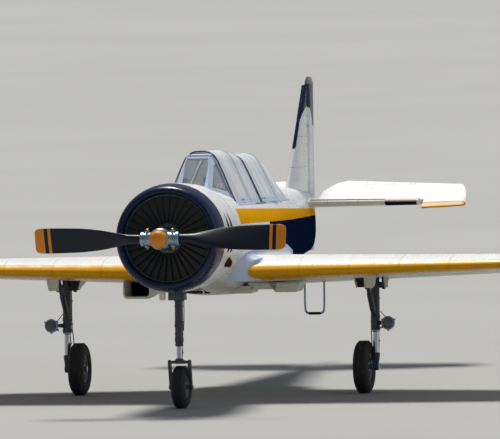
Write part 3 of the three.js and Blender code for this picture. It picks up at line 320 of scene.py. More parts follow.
@once
def coating(name, colour, roughness=0.5, grit=260, relief=0.3, wear=0.2, worn=(0.3, 0.3, 0.3, 1)):
    """A sprayed or moulded skin with an even grain, such as wrinkle paint, non-slip paint, primer or
    rubber. grit is its cells to a metre; wear is how much of what lies below rubs through."""
    material, tree, shader, at = new_finish(name, IOR=1.5)
    cells = node(tree, "TexVoronoi", {"Vector": at, "Scale": grit}, feature="SMOOTH_F1")
    spots = node(tree, "TexNoise", {"Vector": at, "Scale": 11, "Detail": 7,
                                    "Roughness": 0.68}).outputs["Fac"]
    rubbed = node(tree, "MapRange", {"Value": spots, "From Min": 0.6, "From Max": 0.7,
                                     "To Max": wear}).outputs[0]
    base = node(tree, "Mix", {"Factor": spots, "A": shade(colour, 0.8), "B": shade(colour, 1.2)},
                data_type="RGBA").outputs["Result"]
    tint = node(tree, "Mix", {"Factor": rubbed, "A": base, "B": worn},
                data_type="RGBA").outputs["Result"]
    rough = node(tree, "MapRange", {"Value": spots, "To Min": roughness - 0.08,
                                    "To Max": roughness + 0.1}).outputs[0]
    dress(tree, shader, tint, rough, cells.outputs["Distance"], relief, 0.0012)
    return material


@once
def acrylic(name, haze):
    """Blown acrylic sheet, polished by hand for years: clear, with a bright skin, and hazed by fine
    crazing that catches the light in soft bands."""
    material, tree, shader, at = new_finish(name, Base_Color=(*linear("#eef4f8"), 1), IOR=1.49,
                                            Transmission_Weight=1.0, Roughness=0.04)
    bands = node(tree, "Mapping", {"Vector": at, "Scale": (2, 5, 1.2),
                                   "Rotation": (0.5, 0, 0)}).outputs["Vector"]
    soft = node(tree, "TexNoise", {"Vector": bands, "Scale": 1.3, "Detail": 5,
                                   "Roughness": 0.6}).outputs["Fac"]
    film = node(tree, "MapRange", {"Value": soft, "From Min": 0.35, "From Max": 0.68,
                                   "To Min": haze * 0.6, "To Max": haze}).outputs[0]
    dust = node(tree, "BsdfDiffuse", {"Color": (0.93, 0.95, 0.97, 1), "Roughness": 0.4})
    through_it = node(tree, "BsdfTranslucent", {"Color": (0.93, 0.95, 0.97, 1)})
    veil = node(tree, "MixShader", {0: 0.2, 1: dust.outputs[0], 2: through_it.outputs[0]})
    whole = node(tree, "MixShader", {0: film, 1: shader.outputs[0], 2: veil.outputs[0]})
    output = next(n for n in tree.nodes if n.type == "OUTPUT_MATERIAL")
    tree.links.new(whole.outputs[0], output.inputs["Surface"])
    return material


@once
def lamp_glass(name, colour):
    """Pressed lamp glass: thick, clear or dyed through, with moulded flutes on its inner face."""
    material, tree, shader, at = new_finish(name, Base_Color=shade(colour, 1), IOR=1.52,
                                            Transmission_Weight=0.9, Roughness=0.05)
    flutes = node(tree, "TexWave", {"Vector": at, "Scale": 32}, bands_direction="X")
    dress(tree, shader, None, None, flutes.outputs["Fac"], 0.35, 0.001)
    return material


@once
def webbing(name, colour):
    """Nylon webbing, woven: ribs 2 mm apart across the strap, with a soft sheen."""
    material, tree, shader, at = new_finish(name, Roughness=0.75, IOR=1.53, Sheen_Weight=0.4)
    ribs = node(tree, "TexWave", {"Vector": at, "Scale": 80, "Distortion": 0.6},
                bands_direction="Z").outputs["Fac"]
    fibres = node(tree, "TexNoise", {"Vector": at, "Scale": 400, "Detail": 2}).outputs["Fac"]
    tint = node(tree, "Mix", {"Factor": ribs, "A": shade(colour, 0.7), "B": shade(colour, 1.1)},
                data_type="RGBA").outputs["Result"]
    rise = node(tree, "Math", {0: fibres, 1: 0.3, 2: ribs}, operation="MULTIPLY_ADD").outputs[0]
    dress(tree, shader, tint, None, rise, 0.5, 0.0008)
    return material


@once
def hide(name, colour):
    """Tanned and dyed hide sewn over foam: pebbled grain about 2 mm across, polished where one sits, with
    creases that open paler."""
    material, tree, shader, at = new_finish(name, IOR=1.46, Sheen_Weight=0.1)
    grain = node(tree, "TexVoronoi", {"Vector": at, "Scale": 420}, feature="SMOOTH_F1")
    folds = node(tree, "TexNoise", {"Vector": at, "Scale": 22, "Detail": 6, "Distortion": 0.8})
    creased = node(tree, "MapRange", {"Value": folds.outputs["Fac"], "From Min": 0.5,
                                      "From Max": 0.62}).outputs[0]
    tint = node(tree, "Mix", {"Factor": creased, "A": shade(colour, 0.85), "B": shade(colour, 1.5)},
                data_type="RGBA").outputs["Result"]
    rough = node(tree, "MapRange", {"Value": folds.outputs["Fac"], "To Min": 0.38,
                                    "To Max": 0.62}).outputs[0]
    rise = node(tree, "Math", {0: folds.outputs["Fac"], 1: 2.0, 2: grain.outputs["Distance"]},
                operation="MULTIPLY_ADD").outputs[0]
    dress(tree, shader, tint, rough, rise, 0.4, 0.0012)
    return material


# The finishes that several pieces share: how made, the colour or whose setting it is, and the rest
SHARED = {
    # Cadmium-plated forged steel: a soft blue-grey shine, darker where oil has crept out
    "plated_steel": (metal, "#93a9b8", 0.34),
    # Black enamel stoved on castings and small brackets, chipped a little
    "black_stoving_enamel": (coating, "#232527", 0.35, 300, 0.1, 0.3),
    # Moulded black rubber
    "seal_rubber": (coating, "#1b1c1e", 0.7, 500, 0.15, 0.1),
    # Dark grey primer, painted shade deep in the nose bay and the main wheel bays
    "bay_shadow_primer": (coating, "#23282b", 0.8, 200, 0.2, 0.2),
    # Two-pack enamel on pressed and folded sheet without rivets
    "frame_enamel": (enamel, "frame", "wing", (9, 9), 0.3, 0.3, False),
    "gear_bay_enamel": (enamel, "cream", "wing", (9, 9), 0.36, 0.9, False),
    # Two-pack enamel on riveted sheet
    "wing_underside": (enamel, "cream", "wing", (0.48, 0.42), 0.34, 1.0),
    "body_navy": (enamel, "navy", "body", (0.56, 0.353), 0.4, 0.1, True, 0),
}


def shared(name):
    kind, colour, *settings = SHARED[name]
    known = linear(colour) if colour[0] == "#" else getattr(bpy.context.scene.trainer_colours, colour)
    return kind(name, known, *settings)


# Forms: each gives points in airframe millimetres, and faces

def through(stations, values, at):
    """A smooth line through the drawing's stations that doesn't overshoot them."""
    x, y, at = (np.asarray(v, float) for v in (stations, values, at))
    step = np.diff(x)
    slope = np.diff(y) / step
    lean = np.zeros_like(y)
    lean[0], lean[-1] = slope[0], slope[-1]
    for i in range(1, len(y) - 1):
        if slope[i - 1] * slope[i] > 0:
            a, b = 2 * step[i] + step[i - 1], step[i] + 2 * step[i - 1]
            lean[i] = (a + b) / (a / slope[i - 1] + b / slope[i])
    i = np.clip(np.searchsorted(x, at) - 1, 0, len(step) - 1)
    t = (at - x[i]) / step[i]
    return ((1 + 2 * t) * (1 - t) ** 2 * y[i] + t * (1 - t) ** 2 * step[i] * lean[i]
            + t * t * (3 - 2 * t) * y[i + 1] + t * t * (t - 1) * step[i] * lean[i + 1])


def columns(rows, at):
    """Every column of a table smoothed over its first one, at these places."""
    first, *others = zip(*rows)
    return [through(first, column, at) for column in others]


def shell(rings, ends=True):
    """A skin over rings of points, with its two ends closed."""
    rings = [[tuple(p) for p in ring] for ring in rings]
    count = len(rings[0])
    faces = []
    for r in range(len(rings) - 1):
        for i in range(count):
            j = (i + 1) % count
            faces.append((r * count + i, r * count + j, (r + 1) * count + j, (r + 1) * count + i))
    if ends:
        faces.append(tuple(range(count)))
        faces.append(tuple(range((len(rings) - 1) * count, len(rings) * count)))
    return [p for ring in rings for p in ring], faces


def spun(start, end, profile, sides=24, loop=False):
    """A piece turned about the line from start towards end, from (distance along, radius) points. A
    profile that loops makes a ring."""
    start, along = Vector(start), (Vector(end) - Vector(start)).normalized()
    turn = along.to_track_quat("Z", "Y").to_matrix()
    rows = [*profile, profile[0]] if loop else profile
    angles = np.linspace(0, 2 * math.pi, sides, endpoint=False)
    rings = [[start + along * far + turn @ Vector((max(radius, 0.05) * math.cos(a),
                                                   max(radius, 0.05) * math.sin(a), 0)) for a in angles]
             for far, radius in rows]
    return shell(rings, ends=not loop)


def bar(start, end, radius, end_radius=None, sides=20):
    length = (Vector(end) - Vector(start)).length
    return spun(start, end, [(0, radius), (length, end_radius or radius)], sides)


def lathe(profile, sides=64, loop=False):
    """A piece turned about the thrust line's direction, from (radius, y) points."""
    return spun((0, 0, 0), (0, 1, 0), [(y, radius) for radius, y in profile], sides, loop)


def smooth_path(points, steps=6):
    """A curve through points, with this many steps between each pair."""
    points = [Vector(p) for p in points]
    out = []
    for i in range(len(points) - 1):
        a, b = points[max(i - 1, 0)], points[i]
        c, d = points[i + 1], points[min(i + 2, len(points) - 1)]
        for s in range(steps):
            t = s / steps
            out.append(0.5 * (2 * b + (c - a) * t + (2 * a - 5 * b + 4 * c - d) * t * t
                              + (3 * b - a - 3 * c + d) * t ** 3))
    return [*out, points[-1]]


def swept(path, section, side=None):
    """A bar that follows a path. The section's points are (across, over), and side sets what is across."""
    path = [Vector(p) for p in path]
    rings = []
    over = None
    for i, p in enumerate(path):
        ahead = (path[min(i + 1, len(path) - 1)] - path[max(i - 1, 0)]).normalized()
        if side is not None:
            over = ahead.cross(Vector(side)).normalized()
        elif over is None:
            over = ahead.orthogonal().normalized()
        else:
            over = (over - ahead * over.dot(ahead)).normalized()
        across = over.cross(ahead)
        rings.append([p + across * u + over * w for u, w in section])
    return shell(rings)


def pipe(path, radius, sides=10):
    angles = np.linspace(0, 2 * math.pi, sides, endpoint=False)
    return swept(path, [(radius * math.cos(a), radius * math.sin(a)) for a in angles])


def strip(path, width, thick, side):
    """A flat bar or a strap along a path, its width lying along side."""
    w, t = width / 2, thick / 2
    return swept(path, [(-w, -t), (w, -t), (w, t), (-w, t)], side)


def from_bmesh(bm):
    bm.verts.index_update()
    made = [tuple(v.co) for v in bm.verts], [tuple(v.index for v in f.verts) for f in bm.faces]
    bm.free()
    return made


def slab(x, y, z, soft=3, steps=2):
    """A block between ranges of x, y and z, with rounded edges."""
    bm = bmesh.new()
    bmesh.ops.create_cube(bm, size=1)
    for v in bm.verts:
        v.co = [(a + b) / 2 + c * (b - a) for (a, b), c in zip((sorted(x), sorted(y), sorted(z)), v.co)]
    if soft:
        bmesh.ops.bevel(bm, geom=bm.edges[:], offset=soft, segments=steps, affect="EDGES", profile=0.5)
    return from_bmesh(bm)


def hull(*points):
    bm = bmesh.new()
    for p in points:
        bm.verts.new(p)
    made = bmesh.ops.convex_hull(bm, input=bm.verts[:])
    spare = [v for v in made["geom_interior"] if isinstance(v, bmesh.types.BMVert)]
    bmesh.ops.delete(bm, geom=spare, context="VERTS")
    bmesh.ops.dissolve_limit(bm, angle_limit=0.02, verts=bm.verts[:], edges=bm.edges[:])
    return from_bmesh(bm)


def link(from_at, to_at, radii, widths, axis=(1, 0, 0)):
    """A forged link between two eyes whose pins lie along axis."""
    axis = Vector(axis).normalized()
    points = []
    for at, radius, width in zip((from_at, to_at), radii, widths):
        for end in (-0.5, 0.5):
            points += [Vector(p) for p in bar(Vector(at) + axis * width * end * 0.98,
                                              Vector(at) + axis * width * end, radius, sides=16)[0]]
    return hull(*points)


def shape_up(obj):
    """Applies the object's modifiers."""
    fresh = bpy.data.meshes.new_from_object(obj.evaluated_get(bpy.context.evaluated_depsgraph_get()))
    obj.modifiers.clear()
    obj.data = fresh


def carve(obj, operation, tool):
    """Cuts the object with a tool that goes to waste."""
    step = obj.modifiers.new("cut", "BOOLEAN")
    step.operation, step.solver, step.object = operation, "EXACT", tool
    shape_up(obj)
    bpy.data.objects.remove(tool)


def pin(at, reach, radius, sides=14):
    """A pin across the aircraft, reaching this far to each side."""
    across = Vector((reach, 0, 0))
    return bar(Vector(at) - across, Vector(at) + across, radius, sides=sides)


def scissors(kit, roots, knee, apart, draw_in, arm, web, pins):
    """Two torque links that meet at the knee, each of two arms with a web between them."""
    for root in roots:
        for dx in (-apart, apart):
            kit.add(link(root + Vector((dx, 0, 0)), knee + Vector((dx * draw_in, 0, 0)), *arm))
        near, radii, widths = web
        kit.add(link(root.lerp(knee, near), root.lerp(knee, 0.8), radii, widths))
        kit.add(pin(root, pins[0], pins[2]), 1)
    kit.add(pin(knee, pins[1], pins[2]), 1)


class Kit:
    """Gathers forms, drawn in the airframe's axes, into one mesh with several finishes."""

    def __init__(self, name, *finishes, turn=None):
        """turn is how the forms are turned that have no turn of their own."""
        self.name, self.finishes, self.turn = name, finishes, turn
        self.points, self.faces, self.marks, self.masks = [], [], [], []

    def add(self, form, finish=0, turn=None):
        points, faces = form
        start, turn = len(self.points), turn or self.turn
        self.points += [tuple(turn @ Vector(p)) if turn else tuple(p) for p in points]
        self.faces += [tuple(start + i for i in face) for face in faces]
        self.marks += [finish] * len(faces)
        return self

    def mask(self, point, normal, finish, over=None):
        """Masks off what lies on the side that the normal points to, to spray it another colour."""
        self.masks.append((Vector(point), Vector(normal).normalized(), finish, over))
        return self

    def made(self):
        """The object alone, in millimetres, as a cutter or before it is cut."""
        mesh = bpy.data.meshes.new(self.name)
        mesh.from_pydata(self.points, [], self.faces)
        mesh.polygons.foreach_set("material_index", self.marks)
        for finish in self.finishes:
            mesh.materials.append(finish)
        bm = bmesh.new()
        bm.from_mesh(mesh)
        bmesh.ops.remove_doubles(bm, verts=bm.verts[:], dist=0.02)
        bmesh.ops.recalc_face_normals(bm, faces=bm.faces[:])
        bm.to_mesh(mesh)
        bm.free()
        obj = bpy.data.objects.new(self.name, mesh)
        bpy.context.scene.collection.objects.link(obj)
        return obj

    def done(self, body, *replaced, cuts=(), keep=(), sharp=32, turn=None):
        obj = self.made()
        for operation, cutters in (("DIFFERENCE", cuts), ("INTERSECT", keep)):
            for cutter in cutters:
                carve(obj, operation, cutter.made())
        obj.data.name = self.name
        bm = bmesh.new()
        bm.from_mesh(obj.data)
        for point, normal, finish, over in self.masks:
            whole = bm.verts[:] + bm.edges[:] + bm.faces[:]
            bmesh.ops.bisect_plane(bm, geom=whole, dist=0.01, plane_co=point, plane_no=normal)
            for face in bm.faces:
                aside = (face.calc_center_median() - point).dot(normal) > 0
                if aside and (over is None or face.material_index == over):
                    face.material_index = finish
        bm.to_mesh(obj.data)
        bm.free()
        obj.data.transform(AIRFRAME @ turn if turn else AIRFRAME)
        obj.data.shade_smooth()
        obj.data.set_sharp_from_angle(angle=math.radians(sharp))
        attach(obj, body)
        if replaced:
            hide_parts(*replaced)
        return obj


def refinish(material, *names):
    """Gives a CAD node another finish."""
    for name in names:
        for place in frame["nodes"][name].material_slots:
            place.material = material


# Sizes and colours that a user would change

def swatch(name, use, colour):
    """A colour setting, shown in the sidebar."""
    return bpy.props.FloatVectorProperty(name=name, description=use, default=linear(colour),
                                         subtype="COLOR", size=3, min=0, max=1)


class TrainerColours(bpy.types.PropertyGroup):
    """Paint and trim colours"""

    white: swatch("Upper white", "Enamel on the upper fuselage, wings and tail", "#e9eaea")
    cream: swatch("Underside", "Enamel below the wings and belly", "#dcdacb")
    navy: swatch("Cowl and tail navy", "Enamel on the cowl ring, rear fuselage and fin cap", "#101c3a")
    ochre: swatch("Stripe and leading edges", "Yellow enamel on the side stripe and wing noses", "#e3a316")
    orange: swatch("Dome and blade tips", "Orange lacquer on the propeller", "#e58a1c")
    blade: swatch("Blades", "Blue-black lacquer on the propeller blades", "#0d1424")
    frame: swatch("Canopy frames", "Enamel on the canopy frames and root fairings", "#c4d2e6")
    gear: swatch("Landing gear", "Enamel on the gear legs", "#3a4146")
    cabin: swatch("Cockpits", "Primer and paint inside the cockpits", "#76857f")
    hide: swatch("Seat hide", "Leather on the seat pads", "#6b6a64")


class TrainerSizes(bpy.types.PropertyGroup):
    """Counts and sizes of the fittings"""

    vanes: bpy.props.IntProperty(
        name="Shutter vanes", description="Radial cooling vanes in the nose ring",
        min=12, max=60, default=32)
    tip_band: bpy.props.FloatProperty(
        name="Blade tip band", description="Length of the orange tip on each blade",
        min=0, max=0.3, default=0.091, unit="LENGTH")
    gill_lip: bpy.props.FloatProperty(
        name="Gill lip", description="How far each cooling gill's lip stands off the cowl",
        min=0, max=0.03, default=0.012, unit="LENGTH")
    band_share: bpy.props.FloatProperty(
        name="Leading edge band", description="Share of the wing's chord under the yellow nose band, below",
        min=0, max=0.3, default=0.1, subtype="FACTOR")
    dial_size: bpy.props.FloatProperty(
        name="Dial diameter", description="Diameter of the large instruments",
        min=0.04, max=0.1, default=0.078, unit="LENGTH")
    pad_swell: bpy.props.FloatProperty(
        name="Pad swell", description="How far a seat pad's foam may push its cover out",
        min=0, max=0.03, default=0.012, unit="LENGTH")


# Propeller: columns are radius, chord, thickness, blade angle in degrees

BLADE = [(110, 92, 90, 52), (190, 92, 88, 48), (300, 104, 78, 40), (420, 158, 52, 34), (600, 222, 36, 28),
         (800, 248, 26, 23), (1000, 250, 18, 19), (1130, 246, 13, 17), (1180, 226, 11, 16.5),
         (1200, 176, 8, 16)]
PROPELLER_Y = 170
STOPPED = Matrix.Rotation(math.radians(-0.45), 4, "Y")


class TRAINER_OT_propeller(bpy.types.Operator):
    """Turns the dome and the hub with its clamps, and shapes the two lacquered blades"""

    bl_idname = "trainer.propeller"
    bl_label = "Propeller"

    def execute(self, context):
        c, sizes = context.scene.trainer_colours, context.scene.trainer_sizes
        black = lacquer("blade_lacquer", c.blade, 0.42, chips=0.15)
        orange = lacquer("orange_lacquer", c.orange, 0.4)
        plated = shared("plated_steel")
        brass = metal("brass", linear("#b08d4a"), 0.3)
        dome = [(0, 0), (20, 1), (38, 4), (52, 9.5), (62, 16), (70, 25), (76, 36), (80, 47), (82, 58),
                (82.5, 72), (82.5, 89), (81, 91), (81, 95), (0, 95)]
        kit = Kit("dome_spun", orange, plated)
        kit.add(lathe(dome, 96))
        kit.add(lathe([(0, -0.4), (9, -0.4), (11, 2), (11, 5), (0, 5)], 24), 1)
        for i in range(6):
            turn = spin(i / 6)
            kit.add(bar((0, 30, 70), (0, 24, 72), 4, sides=10), 1, turn)
        kit.done("propeller", "propeller_dome")
        hub = Kit("hub_clamps", plated, brass)
        hub.add(lathe([(0, 95.5), (88, 95.5), (92, 99), (92, 112), (98, 118), (100, 124), (100, 150),
                       (96, 154), (96, 190), (100, 194), (100, 236), (96, 242), (80, 250), (80, 290),
                       (74, 294), (38, 294), (38, 329), (0, 329)], 72))
        for i in range(12):
            turn = spin(i / 12)
            hub.add(bar((0, 96, 86), (0, 90, 86), 5, sides=6), 0, turn)
        for side in (1, -1):
            profile = [(58, 70), (120, 62), (124, 66), (136, 66), (140, 61), (150, 61), (153, 68),
                       (178, 68), (184, 64), (186, 50), (150, 50)]
            hub.add(spun((0, PROPELLER_Y, 0), (side, PROPELLER_Y, 0), profile, 40), 0, STOPPED)
            for z in (1, -1):
                hub.add(slab((side * 104, side * 146), (PROPELLER_Y - 26, PROPELLER_Y + 26),
                             (z * 56, z * 78), 5), 0, STOPPED)
                for y in (PROPELLER_Y - 38, PROPELLER_Y + 12):
                    hub.add(bar((side * 122, y, z * 66), (side * 122, y + 26, z * 66), 9, sides=6), 0,
                            STOPPED)
                hub.add(spun((side * 122, PROPELLER_Y, z * 70), (side * 122, PROPELLER_Y, z * 100),
                             [(0, 11), (14, 11), (15, 15), (25, 15), (27, 12)], 6), 1, STOPPED)
        hub.done("propeller", "propeller_hub", sharp=28)
        radii = np.concatenate([np.linspace(110, 1130, 56), [1150, 1166, 1180, 1189, 1195, 1200]])
        tip = 1000 * sizes.tip_band
        for number, side in enumerate((1, -1), 1):
            rings = []
            for radius, chord, thick, degrees in zip(radii, *columns(BLADE, radii)):
                angle = math.radians(degrees) * side
                ring = []
                for t in np.linspace(0, math.tau, 44, endpoint=False):
                    u, w = chord / 2 * math.cos(t), thick / 2 * math.sin(t)
                    ring.append((radius * side, PROPELLER_Y + u * math.sin(angle) + w * math.cos(angle),
                                 u * math.cos(angle) - w * math.sin(angle)))
                rings.append(ring)
            blade = Kit(f"blade_{number}", black, orange)
            blade.add(shell(rings), 0, STOPPED)
            for past, finish, over in ((tip + 63, 1, 0), (tip + 35, 0, 1), (tip, 1, 0)):
                blade.mask((side * (1200 - past), 0, 0), (side, 0, 0.02 * side), finish, over)
            blade.done("propeller", f"propeller_blade_{number}", sharp=50)
        return {"FINISHED"}


# Cowl and engine

COWL_LIP = [(412, 520), (412.5, 480), (416, 455), (424, 437), (437, 427), (450, 425), (463, 429),
            (474, 437), (486, 455), (496, 490), (504, 535), (509, 585), (513, 640), (515, 700),
            (506, 700), (503, 640), (494, 580), (476, 520)]
ENGINE_NOSE_Y = 330
COWL_RADIUS = 515
GILL_FOOT, GILL_TOP = -150, 225


def ring_of_screws(kit, count, radius, y, profile, sides, finish=0):
    for i in range(count):
        a = math.tau * (i + 0.5) / count
        out = Vector((math.cos(a), 0, math.sin(a)))
        at = out * radius + Vector((0, y, 0))
        kit.add(spun(at, at + out, profile, sides), finish)


class TRAINER_OT_cowl(bpy.types.Operator):
    """Spins the cowl ring and panels, hangs the shutter vanes, and sets the engine's nose behind them"""

    bl_idname = "trainer.cowl"
    bl_label = "Cowl, shutters and engine"

    def execute(self, context):
        c, sizes = context.scene.trainer_colours, context.scene.trainer_sizes
        navy = enamel("navy_enamel", c.navy, "body", (3.0, 3.0), 0.26, 0.1, rivets=False, gloss=0.3)
        white = enamel("cowl_enamel", c.white, "body", (0.66, 0.71), 0.24, 0.7)
        # Etched and blacked aluminium: the vanes are matt, and dusty in patches.
        vane = coating("blacked_aluminium", linear("#0b0c0e"), 0.6, 300, 0.1, 0.15, (0.03, 0.03, 0.03, 1))
        iron = metal("cast_magnesium", linear("#5e6463"), 0.5, soiled=0.6, metallic=0.7)
        steel = shared("plated_steel")
        ring = Kit("cowl_ring_spun", navy, steel)
        ring.add(lathe(COWL_LIP, 160, loop=True))
        ring_of_screws(ring, 16, 513.2, 668, [(0, 9), (1.4, 9), (2.0, 7), (1.2, 6), (1.2, 1.6)], 16, 1)
        ring.done("airframe", "cowl_nose_ring")
        skin = [(515, 700.6), (515.5, 800), (515, 900), (513, 1000), (508, 1180), (501, 1359.6),
                (493, 1359.6), (500, 1180), (505, 1000), (507, 900), (507, 700.6)]
        slots, lips = Kit("slots"), []
        for side in (1, -1):
            for y in (835, 975):
                slots.add(hull(*[(side * x, y + back, z) for x in (420, 560) for back, z in (
                    (0, -140), (42, -140), (-12, 60), (42, 60), (30, 225), (42, 225))]))
                rows = []
                for z in np.linspace(GILL_FOOT, GILL_TOP, 22):
                    rise = 1000 * sizes.gill_lip * min(1, (GILL_TOP - z) / 150, (z - GILL_FOOT) / 50)
                    reach = math.sqrt(COWL_RADIUS ** 2 - z * z)
                    rows.append([(side * (reach + up), y + back, z) for up, back in
                                 ((-8, 42), (rise, 42), (rise + 1, 45), (0.3, 110), (-8, 110))])
                lips.append(shell(rows))
        holes = Kit("holes")
        holes.add(slab((-100, 100), (850, 1070), (-700, -400), 20, 3))
        for side in (1, -1):
            holes.add(bar((side * 330, 0, 0), (side * 600, 0, 0), 48, sides=48), 0,
                      Matrix.Translation((0, 1062, -237)) @ Matrix.Diagonal((1, 2.4, 1, 1)))
        for name, z in (("upper", (30.4, 700)), ("lower", (-700, 30))):
            panel = Kit(f"cowl_{name}_sheet", white)
            panel.add(lathe(skin, 160, loop=True))
            half = Kit("half").add(slab((-700, 700), (600, 1500), z, 0))
            cutters = [slots] if name == "upper" else [slots, holes]
            panel.done("airframe", f"cowl_panel_{name}", cuts=cutters, keep=[half])
        gills = Kit("gill_lips", white, vane)
        for lip in lips:
            gills.add(lip)
            # Painted shade: the first face of each lip, facing into its slot, takes the black vane finish
            # for the dark slot
            gills.marks[-len(lip[1]):] = [int(k % 5 == 0) for k in range(len(lip[1]))]
        gills.done("airframe")
        trim = Kit("cowl_fasteners", steel)
        for side in (1, -1):
            for y in np.linspace(735, 1330, 8):
                radius = float(np.interp(y, [700, 1000, 1360], [515.5, 513, 501]))
                for z in (52, 8):
                    x = math.sqrt(radius ** 2 - z * z)
                    out = Vector((side * x, 0, z)).normalized()
                    at = Vector((side * x, y, z))
                    if 810 < y < 1100:
                        continue
                    trim.add(spun(at, at + out, [(-1, 8), (1.2, 8), (1.8, 6), (1.0, 5), (1.0, 1)], 14))
            trim.add(pipe([(side * 505, 705, 30.2), (side * 505, 790, 30.2)], 4, 8))
        ring_of_screws(trim, 26, 501.5, 1342, [(-1, 7), (1.2, 7), (1.8, 5), (1.0, 4), (1.0, 1)], 12)
        trim.done("airframe")
        count = sizes.vanes
        vanes = Kit("shutter_vanes", vane, iron)
        pitch = math.tau / count
        for i in range(count):
            rows = []
            for radius in np.linspace(133, 409, 6):
                width = pitch * radius * 1.08
                ring = []
                for across, over in ((-0.5, 0), (-0.42, -3), (0.42, -3), (0.5, 0), (0.42, 2), (-0.42, 2)):
                    ring.append((across * width, 508 + across * 17 + over, radius))
                rows.append(ring)
            vanes.add(shell(rows), 0, Matrix.Rotation(pitch * i, 4, "Y"))
            vanes.add(bar((0, 511, 128), (0, 511, 136), 5, sides=10), 1, Matrix.Rotation(pitch * i, 4, "Y"))
        vanes.add(lathe([(126.5, 496), (138, 496), (140, 500), (140, 506), (126.5, 506)], 96, True), 1)
        vanes.add(lathe([(404, 498), (411.6, 498), (411.6, 522), (404, 522)], 128, True), 1)
        vanes.done("airframe", "cooling_shutters")
        nose = Kit("engine_nose_case", iron, steel)
        nose.add(lathe([(0, ENGINE_NOSE_Y), (48, ENGINE_NOSE_Y), (56, 333), (58, 345), (72, 352), (82, 362),
                        (98, 395), (108, 440), (114, 470), (122, 474), (126, 480), (126, 492), (120, 500),
                        (124, 560), (130, 600), (430, 645), (438, 655), (438, 950), (430, 960), (300, 1000),
                        (300, 1359), (0, 1359)], 72))
        for i in range(12):
            turn = spin(i / 12)
            nose.add(bar((0, 486, 117), (0, 465, 117), 6.5, sides=6), 1, turn)
            nose.add(slab((-3, 3), (372, 470), (84, 112), 1.5), 0, turn)
        for i in range(8):
            turn = spin(i / 8)
            nose.add(bar((0, 352, 65), (0, 341, 65), 5, sides=6), 1, turn)
        nose.done("airframe", "engine_block")
        # Stainless pipe, blued and scaled brown by the heat.
        burnt = metal("scaled_stainless", linear("#4a3220"), 0.6, soiled=0.8)
        for name, side in SIDES:
            start, mouth = Vector((side * 338, 971, -203)), Vector((side * 455, 1130, -250))
            length = (mouth - start).length
            stub = Kit(f"exhaust_stub_{name}", burnt)
            stub.add(spun(start, mouth, [(0, 38), (length - 40, 39), (length - 36, 41), (length - 28, 41),
                                         (length - 24, 39), (length, 40), (length + 1, 37), (length - 2, 34),
                                         (length - 90, 33), (length - 90, 0.1), (0, 0.1)], 40, True))
            stub.done("airframe", f"exhaust_{name}")
        return {"FINISHED"}


# Fuselage: columns are station Y, half width, top, bottom, squareness of the lower half

FUSELAGE = [(1360, 488, 486, -500, 2.0), (1700, 456, 462, -535, 2.4), (2300, 432, 466, -572, 2.8),
            (3300, 426, 468, -580, 2.8), (4400, 382, 458, -496, 2.6), (5100, 306, 438, -420, 2.4),
            (5900, 212, 408, -338, 2.3), (6600, 132, 374, -272, 2.2), (7030, 84, 348, -232, 2.2)]
UPPER_SQUARENESS = 2.2
SILL_Z = 300
HATCH = ((-600, 600), (2000, 4340), (SILL_Z, 700))


def fuselage_ring(y, grow=0.0, count=96):
    width, top, bottom, lower = map(float, columns(FUSELAGE, y))
    ring = []
    for angle in np.linspace(0, math.tau, count, endpoint=False):
        c, s = math.cos(angle), math.sin(angle)
        power = 2 / (UPPER_SQUARENESS if s >= 0 else lower)
        height = top + grow if s >= 0 else -bottom + grow
        ring.append(((width + grow) * math.copysign(abs(c) ** power, c), y,
                     height * math.copysign(abs(s) ** power, s)))
    return ring


def fuselage_skin(start, end, grow=0.0, count=96):
    rows = max(3, int((end - start) / 60))
    return shell([fuselage_ring(y, grow, count) for y in np.linspace(start, end, rows)])


def side_plane(a, b):
    """A point and an upward normal of the plane that shows as a line from (y, z) to (y, z) in side view."""
    return Vector((0, *a)), Vector((0, a[1] - b[1], b[0] - a[0]))


STRIPE_TOP = side_plane((1400, 262), (7030, 186))
STRIPE_FOOT = side_plane((1400, 107), (7030, 118))
NAVY_FRONT = side_plane((3190, 90), (3470, -560))
STRIPE_START = 1720


